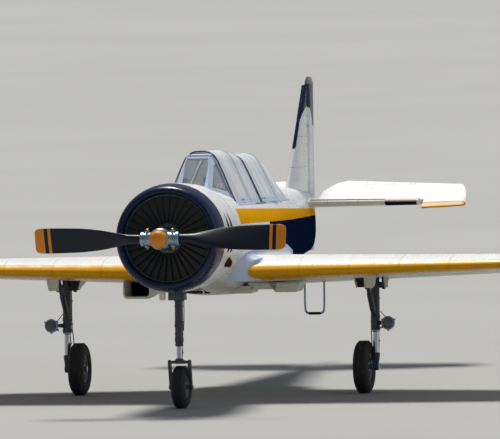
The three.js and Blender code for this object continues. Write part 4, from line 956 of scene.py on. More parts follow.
class TRAINER_OT_fuselage(bpy.types.Operator):
    """Stretches the fuselage skin with its painted stripe, and cuts the cockpit opening"""

    bl_idname = "trainer.fuselage"
    bl_label = "Fuselage"

    def execute(self, context):
        c = context.scene.trainer_colours
        white = enamel("body_white", c.white, "body", (0.56, 0.353), grime=0.4, gloss=0.05)
        ochre = enamel("body_ochre", c.ochre, "body", (0.56, 0.353), 0.4, 0.15, gloss=0)
        navy = shared("body_navy")
        cream = enamel("body_lower_white", c.cream, "body", (0.56, 0.353), grime=0.8)
        # Yellow-green chromate primer under grey-green cabin paint, brushed, rubbed through at the sills.
        primer = coating("cabin_primer", c.cabin, 0.6, 300, 0.2, 0.3, (0.25, 0.27, 0.12, 1))
        bay = shared("bay_shadow_primer")
        finishes = (white, ochre, navy, cream, primer, bay)
        cabin = Kit("cabin", *finishes)
        cabin.add(fuselage_skin(1650, 4360, -28), 4)
        box = Kit("box", primer).add(slab((-500, 500), (1600, 4500), (-330, 600), 0))
        room = cabin.made()
        carve(room, "INTERSECT", box.made())
        cut = Kit("cabin_cut", *finishes)
        cut.add(([tuple(v.co) for v in room.data.vertices],
                 [tuple(p.vertices) for p in room.data.polygons]), 4)
        bpy.data.objects.remove(room)
        hatch = Kit("hatch", *finishes).add(slab(*HATCH, 0), 4)
        front = Kit("fuselage_front", *finishes)
        front.add(fuselage_skin(1360, 4400))
        rear = Kit("fuselage_rear", *finishes)
        rear.add(fuselage_skin(4400.4, 7030))
        for kit in (front, rear):
            for (point, up), finish, over in ((STRIPE_TOP, 1, 0), (STRIPE_FOOT, 3, 1)):
                kit.mask(point, -up, finish, over)
            kit.mask((0, STRIPE_START, 0), (0, -1, 0), 0, 1)
            kit.mask(NAVY_FRONT[0], NAVY_FRONT[1], 2, 3)
            kit.mask((0, 0, -270), (0, 0, 1), 0, 3)
        # The nose leg's open bay, lined with dark primer as painted shade
        well = Kit("well", *finishes).add(slab((-128, 116), (1150, 1900), (-700, -440), 12, 3), 5)
        front.done("airframe", "fuselage_cockpit", cuts=[cut, hatch, well])
        rear.done("airframe", "fuselage_tail")
        return {"FINISHED"}


# Wing: columns are chord share, upper and lower height as shares of the greatest thickness

WING = {"nose": 1840, "root": 1997, "tip": 1082, "sweep": 250, "datum": -436, "half": 4650, "round": 4390,
        "dihedral": math.radians(2), "incidence": math.radians(2), "thick_root": 0.145, "thick_tip": 0.09}
AEROFOIL = [(0, 0.3, 0.3), (0.015, 0.49, 0.16), (0.05, 0.68, 0.07), (0.12, 0.86, 0.02), (0.3, 1, 0),
            (0.5, 0.89, 0), (0.75, 0.55, 0), (1, 0.13, 0)]
AILERON = (2720, 4300, 0.76)
FLAP = (680, 2660, 0.8)
FLAP_PLATE = 12
FLAP_RECESS = 18


def wing_at(x):
    """Nose station, chord, thickness and underside height of the wing's section at x."""
    share = x / WING["half"]
    past = max(0.0, (x - WING["round"]) / (WING["half"] - WING["round"]))
    curve = math.sqrt(max(0.02, 1 - past * past))
    chord = WING["root"] + (WING["tip"] - WING["root"]) * share
    shrink = 0.45 + 0.55 * curve
    thick = (WING["thick_root"] + (WING["thick_tip"] - WING["thick_root"]) * share) * chord * curve
    datum = (WING["datum"] + math.tan(WING["dihedral"]) * max(0, x - 430)
             + 0.3 * WING["thick_tip"] * chord * (1 - curve))
    return WING["nose"] + WING["sweep"] * share + chord * (1 - shrink) / 2, chord * shrink, thick, datum


def wing_point(x, share, height):
    nose, chord, _, datum = wing_at(x)
    return Vector((x, nose + share * chord * math.cos(WING["incidence"]),
                   datum - share * chord * math.sin(WING["incidence"]) + height))


def section_height(share, column):
    """The smooth aerofoil, drawn over the root of the chord share so that its nose comes out round."""
    roots = [math.sqrt(row[0]) for row in AEROFOIL]
    return float(through(roots, [row[column] for row in AEROFOIL], math.sqrt(share)))


WING_SHARES = np.concatenate([[0, 0.002, 0.006, 0.012, 0.02, 0.03, 0.045, 0.065, 0.09],
                              np.linspace(0.12, 1, 17)])


def wing_ring(x):
    thick = wing_at(x)[2]
    upper = [wing_point(x, s, section_height(s, 1) * thick) for s in WING_SHARES]
    lower = [wing_point(x, s, section_height(s, 2) * thick) for s in WING_SHARES]
    return [*reversed(upper), *lower[1:]]


def nose_arc(centre, radius, tail, steps=12):
    slope = math.atan2(tail[2] - centre[2], tail[1] - centre[1])
    return [Vector((centre[0], centre[1] + radius * math.cos(slope + math.pi / 2 + math.pi * i / steps),
                    centre[2] + radius * math.sin(slope + math.pi / 2 + math.pi * i / steps)))
            for i in range(steps + 1)]


def leaf_ring(centre, radius, tail, edge, slack=0.0, steps=6):
    """A control surface's section: a round nose on the hinge line, and two sides that run to a thin edge,
    drawn in by the slack that fabric has between its ribs."""
    arc = nose_arc(centre, radius, tail)
    tail, up = Vector(tail), Vector((0, 0, 1))
    low = [arc[-1].lerp(tail - up * edge, s) for s in np.linspace(0, 1, steps + 1)[1:]]
    high = [(tail + up * edge).lerp(arc[0], s) for s in np.linspace(0, 1, steps + 1)[:-1]]
    for k, s in enumerate(np.linspace(0, 1, steps + 1)[1:-1]):
        low[k] = low[k] + up * slack * math.sin(math.pi * s)
        high[-1 - k] = high[-1 - k] - up * slack * math.sin(math.pi * s)
    return [*arc, *low, *high]


def slack_at(x, pitch=240, most=1.6):
    return most * math.sin(math.pi * x / pitch) ** 2


def lug(kit, at, axis, back, eye, width=16, finish=0, turn=None):
    """A hinge lug on the fixed side: an eye round the pin and an arm back to the spar."""
    kit.add(link(at, Vector(at) + Vector(back), (eye, eye), (width, width), axis), finish, turn)


def wing_room(start, end, count, rise, turn=None):
    """The wing between two places, let down by a touch and filled above, to cut what stands under it."""
    return Kit("wing").add(shell([[p + Vector((0, 0, -TOUCH if k >= len(WING_SHARES) else rise))
                                   for k, p in enumerate(wing_ring(x))]
                                  for x in np.linspace(start, end, count)]), 0, turn)


class TRAINER_OT_wings(bpy.types.Operator):
    """Skins both wings with their nose bands and root fairings, and hangs the ailerons and flaps"""

    bl_idname = "trainer.wings"
    bl_label = "Wings"

    def execute(self, context):
        c, sizes = context.scene.trainer_colours, context.scene.trainer_sizes
        white = enamel("wing_white", c.white, "wing", (0.48, 0.42), 0.26, 0.5)
        ochre = enamel("wing_ochre", c.ochre, "wing", (0.48, 0.9), 0.27, 0.5)
        cream = shared("wing_underside")
        sky = enamel("fairing_blue", c.frame, "wing", (0.9, 0.7), 0.24, 0.4)
        cloth = doped_fabric("aileron_cloth", c.white)
        steel = shared("plated_steel")
        xs = np.concatenate([np.linspace(330, 4390, 52),
                             [4430, 4470, 4510, 4550, 4585, 4612, 4632, 4644, 4650]])
        count = 2 * len(WING_SHARES) - 1
        skin, faces = shell([wing_ring(x) for x in xs])
        upper = len(WING_SHARES) - 1
        marks = [0 if k % count < upper else 2 for k in range(len(faces) - 2)] + [0, 0]
        flap_x, flap_end, flap_share = FLAP
        bay = []
        for x in (flap_x, flap_end):
            a, b = wing_point(x, flap_share, 0), wing_point(x, 1, 0)
            slope = (b.z - a.z) / (b.y - a.y)
            front = -FLAP_PLATE / 2 - RUNNING
            bay.append([(x, y, a.z + slope * (y - a.y) + h) for y, h in (
                (a.y + front, -60), (b.y + 80, -60), (b.y + 80, FLAP_RECESS), (a.y + front, FLAP_RECESS))])
        out, end, share = AILERON
        gap = []
        for x in (out, end):
            thick = section_height(share, 1) * wing_at(x)[2]
            start = wing_point(x, share, thick / 2)
            y = start.y - thick / 2 - RUNNING
            gap.append([(x, y, start.z - 200), (x, 4400, start.z - 200), (x, 4400, start.z + 200),
                        (x, y, start.z + 200)])
        for name, side in SIDES:
            turn = None if side > 0 else MIRROR
            body = Kit("body").add(fuselage_skin(1300, 7000, TOUCH))
            wing = Kit(f"wing_skin_{name}", white, ochre, cream, steel)
            wing.add((skin, faces), 0, turn)
            wing.marks = marks[:]
            cutters = [Kit("bays").add(shell(bay), 0, turn).add(shell(gap), 0, turn), body]
            for over, share_back in ((0, 0.4 * sizes.band_share), (2, sizes.band_share)):
                start = wing_point(0, share_back, 0)
                run = wing_point(4390, share_back, 0) - start
                wing.mask((0, start.y, 0), (side * run.y, -run.x, 0), 1, over)
            wing.mask((side * 470, 0, 0), (-side, 0, 0), 0, 1)
            wing.done("airframe", f"wing_{name}", cuts=cutters)
            lugs = Kit(f"hinge_lugs_{name}", steel)
            thick = [section_height(share, 1) * wing_at(x)[2] for x in (out, end)]
            a, b = (wing_point(x, share, t / 2) for x, t in zip((out, end), thick))
            for s in (0.15, 0.85):
                lug(lugs, a.lerp(b, s), b - a, (0, -75, 0), 14, turn=turn)
            d, e = (wing_point(x, flap_share, FLAP_PLATE / 2) for x in (flap_x, flap_end))
            for s in (0.12, 0.88):
                lug(lugs, d.lerp(e, s), e - d, (0, -30, 3), 5.5, turn=turn)
            lugs.done("airframe")
            self.root_fairing(name, turn, body, sky)
            aileron = Kit(f"aileron_{name}_cloth", cloth, steel)
            rings = []
            for x in np.linspace(out + RUNNING, end - RUNNING, 80):
                thick = section_height(share, 1) * wing_at(x)[2]
                edge = section_height(1, 1) * wing_at(x)[2] * 0.5
                rings.append(leaf_ring(wing_point(x, share, thick / 2), thick / 2, wing_point(x, 1, edge),
                                       edge * 0.75, slack_at(x - out)))
            aileron.add(shell(rings), 0, turn)
            aileron.done(f"aileron_{name}", f"aileron_{name}",
                         cuts=[self.slots(a, b, (0.15, 0.85), 20, turn)])
            flap = Kit(f"flap_{name}_plate", cream, steel)
            half = FLAP_PLATE / 2
            rings = [leaf_ring(wing_point(x, flap_share, half), half, wing_point(x, 1, half), half * 0.8)
                     for x in np.linspace(flap_x + RUNNING, flap_end - RUNNING, 30)]
            flap.add(shell(rings), 0, turn)
            flap.done(f"flap_{name}", f"flap_{name}", cuts=[self.slots(d, e, (0.12, 0.88), 11.5, turn)])
        self.walkway(context)
        return {"FINISHED"}

    def slots(self, a, b, shares, reach, turn):
        """What a moving surface leaves clear round its fixed lugs."""
        cut = Kit("slots")
        along = (b - a).normalized()
        for s in shares:
            at = a.lerp(b, s)
            cut.add(bar(at - along * 14, at + along * 14, reach, sides=20), 0, turn)
        return cut

    def root_fairing(self, name, turn, body, sky):
        # Columns are station, width out from the fuselage's side, top, foot and the cove's depth.
        rows = [(1600, 30, -196, -430, 250), (1720, 52, -172, -434, 250), (1850, 72, -156, -436, 200),
                (1910, 110, -150, -434, 90), (1980, 190, -140, -424, 80), (2060, 200, -136, -414, 80),
                (2300, 150, -120, -400, 90), (3000, 165, -95, -400, 110), (3600, 235, -95, -400, 140),
                (3900, 250, -110, -400, 160), (4250, 70, -180, -400, 110)]
        ys = np.concatenate((np.linspace(1600, 1990, 26), np.linspace(2030, 4250, 50)))
        rings = []
        for y, width, top, foot, depth in zip(ys, *columns(rows, ys)):
            outer, high = 400 + width, top - foot
            grown = min((y - 1600) / 250, 1) ** 0.8
            hollow = min(max((y - 1840) / 110, 0), 1)
            skin = sorted((z, x) for x, _, z in fuselage_ring(y) if x > 0)
            against = np.interp(foot, [z for z, _ in skin], [x for _, x in skin]) + 3
            ring = [(250, y, foot), (against + (outer - against) * grown, y, foot)]
            for a in np.linspace(0, math.pi / 2, 19)[1:]:
                round_x, round_z = 300 + (outer - 300) * math.cos(a) ** 0.5, foot + high * math.sin(a) ** 0.6
                against = np.interp(round_z, [z for z, _ in skin], [x for _, x in skin]) + 3
                round_x = against + (round_x - against) * grown
                cove_x, cove_z = outer - (width - 20) * math.sin(a), top - depth * math.cos(a)
                ring.append((round_x + (cove_x - round_x) * hollow, y,
                             round_z + (cove_z - round_z) * hollow))
            rings.append([*ring, (250, y, top)])
        fairing = Kit(f"root_fairing_{name}", sky)
        fairing.add(shell(rings), 0, turn)
        fairing.done("airframe", cuts=[body])

    def walkway(self, context):
        """The non-slip strip, laid on the left wing's root and fairing."""
        # Pale grey paint with grit sown in while wet: coarse, matt, scuffed by boots. Grit is 1 mm,
        # drawn at 4 mm.
        grit = coating("non_slip_paint", linear("#a9adae"), 0.85, 260, 0.8, 0.35, (0.2, 0.2, 0.2, 1))
        tops = [bpy.data.objects[n] for n in ("wing_skin_left", "root_fairing_left")]
        back = AIRFRAME.inverted()
        down = (AIRFRAME.to_3x3() @ Vector((0, 0, -1))).normalized()
        rows = []
        for y in np.linspace(2330, 3720, 60):
            row = []
            for x in np.linspace(446, 700, 16):
                above = AIRFRAME @ Vector((x, y, 60))
                hits = [obj.ray_cast(above, down) for obj in tops]
                z = max((back @ hit[1]).z for hit in hits if hit[0])
                row.append((x, y, z + 1.2))
            rows.append([*row, *[(x, y, z - 2.0) for x, y, z in reversed(row)]])
        strip_kit = Kit("wing_walkway", grit)
        strip_kit.add(shell(rows))
        strip_kit.done("airframe", sharp=60)


# Tail

ELEVATOR_HINGE = Vector((0, 6990, 245))
RAISED = (Matrix.Translation(ELEVATOR_HINGE) @ Matrix.Rotation(math.radians(20), 4, "X")
          @ Matrix.Translation(-ELEVATOR_HINGE))
RUDDER_HINGE = Vector((0, 7090, 0))
TURNED = (Matrix.Translation(RUDDER_HINGE) @ Matrix.Rotation(math.radians(6.5), 4, "Z")
          @ Matrix.Translation(-RUDDER_HINGE))
LEAF = [(0, 0), (0.03, 0.42), (0.12, 0.82), (0.32, 1), (0.65, 0.7), (1, 0.32)]
# The navy paint's edge on the fin and rudder, as (height over the thrust line, distance aft), in metres
FIN_BORDER = [(0.7, 5.7), (0.78, 6.375), (0.864, 6.473), (0.991, 6.58), (1.082, 6.664), (1.162, 6.803),
              (1.19, 6.93), (1.2, 7.03)]


def symmetric_ring(place, nose, tail, thick, count=15):
    """A tail surface's section; place(y, height) sets each point down."""
    roots = [math.sqrt(share) for share, _ in LEAF]
    shares = np.linspace(0, 1, count) ** 2
    halves = through(roots, [half for _, half in LEAF], np.sqrt(shares)) * thick / 2
    pairs = list(zip(nose + (tail - nose) * shares, halves))
    return [*[place(y, h) for y, h in reversed(pairs)], *[place(y, -h) for y, h in pairs[1:]]]


class TRAINER_OT_tail(bpy.types.Operator):
    """Shapes the fin and stabilizers, and hangs the cloth-covered rudder and elevator"""

    bl_idname = "trainer.tail"
    bl_label = "Tail"

    def execute(self, context):
        c = context.scene.trainer_colours
        fin_white = tail_livery("fin_livery", c.white, c.navy, "sheet", FIN_BORDER, 0.3)
        cloth_white = tail_livery("rudder_livery", c.white, c.navy, "cloth", FIN_BORDER, 0.22)
        white = enamel("tail_white", c.white, "wing", (0.3, 0.28), 0.26, 0.3)
        cream = enamel("tail_underside", c.cream, "wing", (0.3, 0.28), 0.34, 0.6)
        navy = shared("body_navy")
        cloth = doped_fabric("elevator_cloth", c.white, pitch=0.2)
        ochre_cloth = doped_fabric("elevator_ochre", c.ochre, pitch=0.2)
        steel = shared("plated_steel")
        rubber = shared("seal_rubber")
        # A brown that paints the ochre leading edge in shade: painted shade on the stabilizers' outboard
        # noses and in a band on each elevator horn
        tape = coating("abrasion_tape", linear("#a9744a"), 0.5, 300, 0.1, 0.2)
        hinge = ELEVATOR_HINGE
        body = Kit("body").add(fuselage_skin(5000, 7030, TOUCH))
        for name, side in SIDES:
            stabilizer = Kit(f"stabilizer_{name}_skin", white, tape, cream, navy)
            rings = []
            for x in np.linspace(20, 1178, 40):
                share = (x - 20) / 1158
                rings.append(symmetric_ring(
                    lambda y, h, x=x: (side * x, y, hinge.z + h), 6490 + 210 * share, 6938, 92 - 26 * share))
            skin, faces = shell(rings)
            stabilizer.add((skin, faces))
            half = len(rings[0]) // 2
            stabilizer.marks = [0 if k % len(rings[0]) < half else 2 for k in range(len(faces) - 2)] + [0, 0]
            slant = Vector((side * 210, -1158, 0)).normalized()
            # Painted shade: the nose ahead of the slanted line takes the brown
            stabilizer.mask((side * 20, 6490 + 26, 0), (side * 210, -1158, 0), 1, 0)
            stabilizer.mask((side * 857, 0, 0), (-side, 0, 0), 2, 1)
            stabilizer.mask((side * 857, 0, 0), (side, 0, 0), 3, 2)
            stabilizer.mask((side * 1166, 0, 0), (side, 0, 0), 2)
            stabilizer.done("airframe", f"stabilizer_{name}", cuts=[body])
            # Painted shade: a dark rubber strip along the top of the inboard nose stands for the shaded line
            # where the stabilizer meets the elevator
            shade_line = Kit(f"leading_boot_{name}", rubber)
            start, stop = Vector((side * 130, 6534, 276)), Vector((side * 857, 6666, 272))
            shade_line.add(strip([start, stop], 9, 4, slant))
            shade_line.done("airframe")
            lugs = Kit(f"elevator_lugs_{name}", steel)
            lug(lugs, (side * 760, hinge.y, hinge.z), (1, 0, 0), (0, -80, 0), 15)
            lugs.done("airframe")
        elevator = Kit("elevator_cloth_skin", cloth, ochre_cloth, steel)
        for side in (1, -1):
            rings = []
            for x in np.linspace(118, 1480, 86):
                share = (x - 118) / 1482
                thick = 82 - 26 * share
                rings.append(leaf_ring((side * x, hinge.y, hinge.z), thick / 2,
                                       (side * x, 7595 - 155 * share, hinge.z), 4, slack_at(x, 200, 2.2)))
            elevator.add(shell(rings))
        horns = Kit("elevator_horns", cloth, ochre_cloth, tape)
        xs = np.concatenate([np.linspace(1192, 1490, 14), np.linspace(1500, 1618, 20)])
        horn = [(1192, 6800, 7440, 60), (1490, 6840, 7432, 58), (1545, 6850, 7310, 50),
                (1585, 6860, 7130, 40), (1608, 6872, 6975, 26), (1618, 6884, 6925, 12)]
        nose, tail, thick = columns(horn, xs)
        for side in (1, -1):
            horns.add(shell([symmetric_ring(lambda y, h, x=x: (side * x, y, hinge.z + h), n, t, k)
                             for x, n, t, k in zip(xs, nose, tail, thick)]), 0, RAISED)
            ahead = Vector((side * 40, -426, 0))
            # Painted shade: behind each horn's ochre nose, a band takes the brown
            horns.mask(RAISED @ Vector((side * 1192, 6890, hinge.z)), ahead, 2, 0)
            horns.mask(RAISED @ Vector((side * 1192, 6840, hinge.z)), ahead, 1, 2)
        horns.done("elevator")
        notch = Kit("notch")
        gaps, hinge_gap = Kit("gaps"), Kit("hinge_gap")
        for side in (1, -1):
            notch.add(shell([[(side * a, y, z) for a, z in ((90, -200), (90, 700), (x, 700), (x, -200))]
                             for y, x in
                             ((7020, 125), (7250, 127), (7500, 226), (7590, 345), (7700, 500))]))
            notch.add(bar((side * 738, hinge.y, hinge.z), (side * 782, hinge.y, hinge.z), 21, sides=20))
        for x in (520, 1010):
            gaps.add(slab((x, x + 4), (7452, 7700), (100, 500), 0))
        hinge_gap.add(slab((522, 1012), (7452, 7456), (100, 500), 0))
        elevator.done("elevator", "elevator", cuts=[notch, gaps, hinge_gap], turn=RAISED)
        fittings = Kit("elevator_fittings", steel)
        fittings.add(bar((-150, hinge.y, hinge.z), (150, hinge.y, hinge.z), 16), 0, RAISED)
        for side in (1, -1):
            fittings.add(bar((side * 736, hinge.y, hinge.z), (side * 784, hinge.y, hinge.z), 7), 0, RAISED)
        fittings.add(pipe([(700, 7440, 227), (700, 7300, 215), (700, 7180, 211)], 4), 0, RAISED)
        fittings.add(slab((697, 703), (7436, 7462), (221, 243), 1), 0, RAISED)
        for x in (560, 760, 970):
            fittings.add(bar((x - 12, 7454, 251), (x + 12, 7454, 251), 3.5, sides=10), 0, RAISED)
        fittings.done("elevator")
        fin = Kit("fin_skin", fin_white)
        fin.add(shell([symmetric_ring(lambda y, x, z=z: (x, y, z), 5950 + 850 * (z - 300) / 968 - 70
                                      * max(0, 1 - (z - 300) / 260) ** 2, 7030, 86 - 30 * (z - 300) / 968)
                       for z in np.linspace(300, 1408, 44)]))
        lugs = Kit("rudder_lugs", steel)
        for z, back in ((1000, -90), (-120, -80)):
            lug(lugs, (0, RUDDER_HINGE.y, z), (0, 0, 1), (0, back, 0), 15)
        fin.done("airframe", "fin", cuts=[body])
        lugs.done("airframe")
        heights = [-232, -150, 250, 1425]
        zs = np.linspace(-232, 1425, 90)
        thick = np.interp(zs, heights, [74, 84, 84, 50])
        tails = through(heights, [7600, 7690, 7745, 7704], zs)
        rudder = Kit("rudder_cloth_skin", cloth_white)
        rings = []
        for z, t, tail in zip(zs, thick, tails):
            flat = leaf_ring((0, RUDDER_HINGE.y, 0), t / 2, (0, tail, 0), 4, slack_at(z + 232, 220, 2.2))
            rings.append([(p.z, p.y, z) for p in flat])
        rudder.add(shell(rings), 0, TURNED)
        cut = Kit("slots")
        for z in (1000, -120):
            cut.add(bar((0, RUDDER_HINGE.y, z - 14), (0, RUDDER_HINGE.y, z + 14), 21, sides=20), 0, TURNED)
        rudder.done("rudder", "rudder", cuts=[cut])
        top = Kit("rudder_horn", cloth_white)
        zs = np.linspace(1418, 1490, 18)
        rows = [(1418, 6938, 7704, 50), (1462, 6988, 7600, 34), (1490, 7080, 7480, 12)]
        nose, tail, thick = columns(rows, zs)
        top.add(shell([symmetric_ring(lambda y, x, z=z: (x, y, z), n, t, k)
                       for z, n, t, k in zip(zs, nose, tail, thick)]), 0, TURNED)
        top.done("rudder")
        pins = Kit("rudder_pins", steel)
        for z in (1000, -120):
            pins.add(bar((0, RUDDER_HINGE.y, z - 24), (0, RUDDER_HINGE.y, z + 24), 7), 0, TURNED)
        pins.done("rudder")
        return {"FINISHED"}


# Canopy: half of the arch's outline as (x, height over the sill)

ARCH = [(345, 0), (262, 195), (190, 362), (150, 440), (104, 484), (52, 503), (0, 506)]
ARCH_FOOT, ARCH_TOP = 345, 503
SIDEWAYS = 0.93  # how much of an inset goes sideways, since the arch's sides lean
FAIRING_INSET = 18
HOODS = {"front_hood": (2030, 2720, 0, 0, 42), "canopy_middle": (2728, 3220, 18, -14, 36),
         "rear_hood": (3228, 3950, 0, -44, 42)}


def arch(y, inset=0.0, rise=0.0, narrow=1.0, count=61):
    """The canopy's outline at station y, from the left sill over the top to the right one."""
    half = [(max(x - inset * SIDEWAYS, 0) * narrow, z * (ARCH_TOP + rise - inset) / ARCH_TOP)
            for x, z in ARCH]
    points = [*half, *[(-x, z) for x, z in reversed(half[:-1])]]
    run = np.concatenate([[0], np.cumsum([math.dist(a, b) for a, b in zip(points, points[1:])])])
    at = np.linspace(0, run[-1], count)
    xs, zs = (through(run, [p[k] for p in points], at) for k in (0, 1))
    return [(float(x), y, SILL_Z + TOUCH + float(z)) for x, z in zip(xs, zs)]


def arch_band(rows):
    """A bent sheet over the cockpit from rows of (station, outer inset, inner inset, rise, narrowing)."""
    return shell([[*arch(y, outer, rise, narrow), *reversed(arch(y, inner, rise, narrow))]
                  for y, outer, inner, rise, narrow in rows])


def arch_reach(inset, height, rise):
    """Half the arch's width at a height over the sill."""
    half = [(h * (ARCH_TOP + rise - inset) / ARCH_TOP, x - inset * SIDEWAYS) for x, h in ARCH[:6]]
    return float(np.interp(height, *zip(*half)))


def sill_rail(side, y0, y1, height, outer, inner, rise=0.0):
    section = [(arch_reach(inset, z, rise), SILL_Z + (z or TOUCH))
               for inset, z in ((outer, 0), (outer, height), (inner, height), (inner, 0))]
    return shell([[(side * x, y, z) for x, z in section] for y in (y0, y1)])


def fairing_narrowing(y):
    """Draws the rear fairing in so that its foot lands on the fuselage as that tapers."""
    ring = [p for p in fuselage_ring(y, 0, 400) if p[0] > 0 and p[2] > 0]
    reach = float(np.interp(SILL_Z, *zip(*sorted((p[2], p[0]) for p in ring))))
    return min(1.0, (reach + 3) / (ARCH_FOOT - FAIRING_INSET * SIDEWAYS))


class TRAINER_OT_canopy(bpy.types.Operator):
    """Bends the acrylic hoods in their painted bows, and trims the windscreen"""

    bl_idname = "trainer.canopy"
    bl_label = "Canopy"

    def execute(self, context):
        painted = shared("frame_enamel")
        clear = acrylic("windscreen_acrylic", 0.22)
        hazed = acrylic("hood_acrylic", 0.92)
        rubber = coating("weathered_seal_rubber", linear("#4a4f54"), 0.7, 500, 0.15, 0.1)
        steel = shared("plated_steel")
        for name, (y0, y1, inset, rise, bow) in HOODS.items():
            body = name if name in frame["bodies"] else "airframe"
            glass = Kit(f"{name}_acrylic", hazed)
            glass.add(arch_band([(y, inset + 3, inset + 8, rise, 1) for y in (y0 + 6, y1 - 6)]))
            glass.done(body, f"{name}_glass")
            kit = Kit(f"{name}_bows", painted, rubber, steel)
            for start, stop in ((y0, y0 + bow), (y1 - bow, y1)):
                kit.add(arch_band([(start, inset + 2, inset + 12, rise, 1),
                                   (start + 3, inset, inset + 12, rise, 1),
                                   (stop - 3, inset, inset + 12, rise, 1),
                                   (stop, inset + 2, inset + 12, rise, 1)]))
            for edge in (y0, y1 - 5):
                kit.add(arch_band([(y, inset - 1.2, inset + 10, rise, 1) for y in (edge, edge + 5)]), 1)
            for side in (1, -1):
                kit.add(sill_rail(side, y0 + 2, y1 - 2, 52, inset, inset + 12, rise))
                for y in np.arange(y0 + 60, y1 - 50, 70):
                    x = ARCH_FOOT - inset * SIDEWAYS - 30 * 0.43
                    at = Vector((side * (x + 0.4), y, SILL_Z + 30))
                    kit.add(spun(at, at + Vector((side, 0, 0.42)), [(0, 4.5), (1.2, 4), (1.6, 2)], 8), 2)
            if body != "airframe":
                y = (y0 + y1) / 2 if name == "front_hood" else y0 + 120
                for side in (1, -1):
                    at = Vector((side * (324 - inset), y, SILL_Z + 34))
                    kit.add(strip(smooth_path([at + Vector((side * d, s, 0)) for d,
                                               s in ((-2, -60), (16, -46), (20, 0), (16, 46), (-2, 60))],
                                              5), 10, 6, (0, 0, 1)), 2)
            kit.done(body, f"{name}_frame")
        self.rear_fairing(painted, hazed, rubber)
        refinish(painted, "windscreen_frame")
        refinish(clear, *[f"windscreen_glass_{p}" for p in ("centre", "left", "right")])
        trim = Kit("windscreen_trim", painted, rubber, steel)
        trim.add(arch_band([(1994, 18, 30, 0, 1), (1997, 15.5, 30, 0, 1), (2026, 15.5, 30, 0, 1),
                            (2029.4, 18, 30, 0, 1)]))
        trim.add(arch_band([(1988, 16.5, 20, 0, 1), (1993, 16.5, 20, 0, 1)]), 1)
        for side in (1, -1):
            post = [(side * 150, 1615, 430), (side * 104, 1925, 764)]
            trim.add(pipe(post, 7, 12))
            trim.add(bar(post[1], (side * 108, 2000, 773), 7))
            trim.add(pipe([(side * 165, 1560, 340), post[0]], 6, 12))
            for k in range(1, 12):
                at = Vector(post[0]).lerp(Vector(post[1]), k / 12) + Vector((-side * 19, -1, 3))
                trim.add(spun(at, at + Vector((0, -0.73, 0.68)), [(0, 4.5), (1.2, 4), (1.6, 2)], 8), 2)
        trim.add(pipe([(-104, 1925, 764), (104, 1925, 764)], 7, 12))
        trim.add(pipe([(-150, 1615, 430), (150, 1615, 430)], 6, 12))
        trim.done("airframe")
        return {"FINISHED"}

    def rear_fairing(self, painted, hazed, rubber):
        stations = [3960, 4330, 4650, 4950]
        rises = [-62, -92, -210, -345]

        def rows(y0, y1, outer, inner, count):
            ys = np.linspace(y0, y1, count)
            return [(float(y), FAIRING_INSET + outer, FAIRING_INSET + inner, float(r), fairing_narrowing(y))
                    for y, r in zip(ys, through(stations, rises, ys))]
        glass = Kit("rear_fairing_acrylic", hazed)
        glass.add(arch_band(rows(3966, 4644, 3, 8, 18)))
        glass.done("airframe", "canopy_rear_glass")
        kit = Kit("rear_fairing_sheet", painted, rubber)
        kit.add(arch_band(rows(3960, 4002, 0, 12, 4)))
        kit.add(arch_band(rows(4640, 4950, 0, 8, 16)))
        kit.add(arch_band(rows(4634, 4641, -1, 9, 2)), 1)
        ys = np.linspace(3962, 4642, 20)
        for side in (1, -1):
            rings = []
            for y, rise in zip(ys, through(stations, rises, ys)):
                narrow = side * fairing_narrowing(y)
                rings.append([(arch_reach(FAIRING_INSET + inset, z, rise) * narrow, y, SILL_Z + TOUCH + z)
                              for inset, z in ((0, 0), (0, 60), (12, 60), (12, 0))])
            kit.add(shell(rings))
        kit.done("airframe", "canopy_rear_frame")


# Cockpits

SEAT_Y = {"front": 2790, "rear": 3960}
SEAT_FLOOR = -59.6
BACK_LEAN = math.atan(98 / 540)


def back_face(z):
    """How far aft of the seat's station the front of its back stands at a height."""
    return -8 + 98 * (z + 110) / 540


def stuffed(name, body, form, finish, swell, rests=(), stitch=None, piping=None):
    """Sews a cover round foam: the form is pumped up as cloth, held where it rests, then stitched down.
    rests lists planes that it can't pass; stitch gives the depth of a sewn channel at a point, in mm."""
    pad = Kit(name, finish).add(form).made()
    pad.data.transform(AIRFRAME)
    fine = pad.modifiers.new("voxels", "REMESH")
    fine.mode, fine.voxel_size = "VOXEL", 0.006
    shape_up(pad)
    back = AIRFRAME.inverted()
    start = [v.co.copy() for v in pad.data.vertices]
    cloth = pad.modifiers.new("cover", "CLOTH")
    cloth.settings.use_pressure = True
    cloth.settings.uniform_pressure_force = 4
    cloth.settings.effector_weights.gravity = 0
    cloth.point_cache.frame_start, cloth.point_cache.frame_end = 1, 20
    for number in range(1, 21):
        bpy.context.scene.frame_set(number)
    shape_up(pad)
    bpy.context.scene.frame_set(1)
    for v, home in zip(pad.data.vertices, start):
        moved = v.co - home
        far = moved.length
        if far > swell:
            v.co = home + moved * (swell / far)
    for point, normal in rests:
        flat, out = AIRFRAME @ Vector(point), (AXES.to_3x3() @ Vector(normal)).normalized()
        for v in pad.data.vertices:
            over = (v.co - flat).dot(out)
            if over > 0:
                v.co -= out * over
    smooth = pad.modifiers.new("cover", "SUBSURF")
    smooth.levels = 1
    shape_up(pad)
    if stitch:
        normals = [v.normal.copy() for v in pad.data.vertices]
        unpitch = AXES.inverted().to_3x3()
        for v, normal in zip(pad.data.vertices, normals):
            v.co -= normal * stitch(back @ v.co, unpitch @ normal) * 0.001
    pad.data.shade_smooth()
    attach(pad, body)
    if piping:
        point, normal, cord = piping
        around(pad, f"{name}_piping", body, point, normal, cord)
    return pad


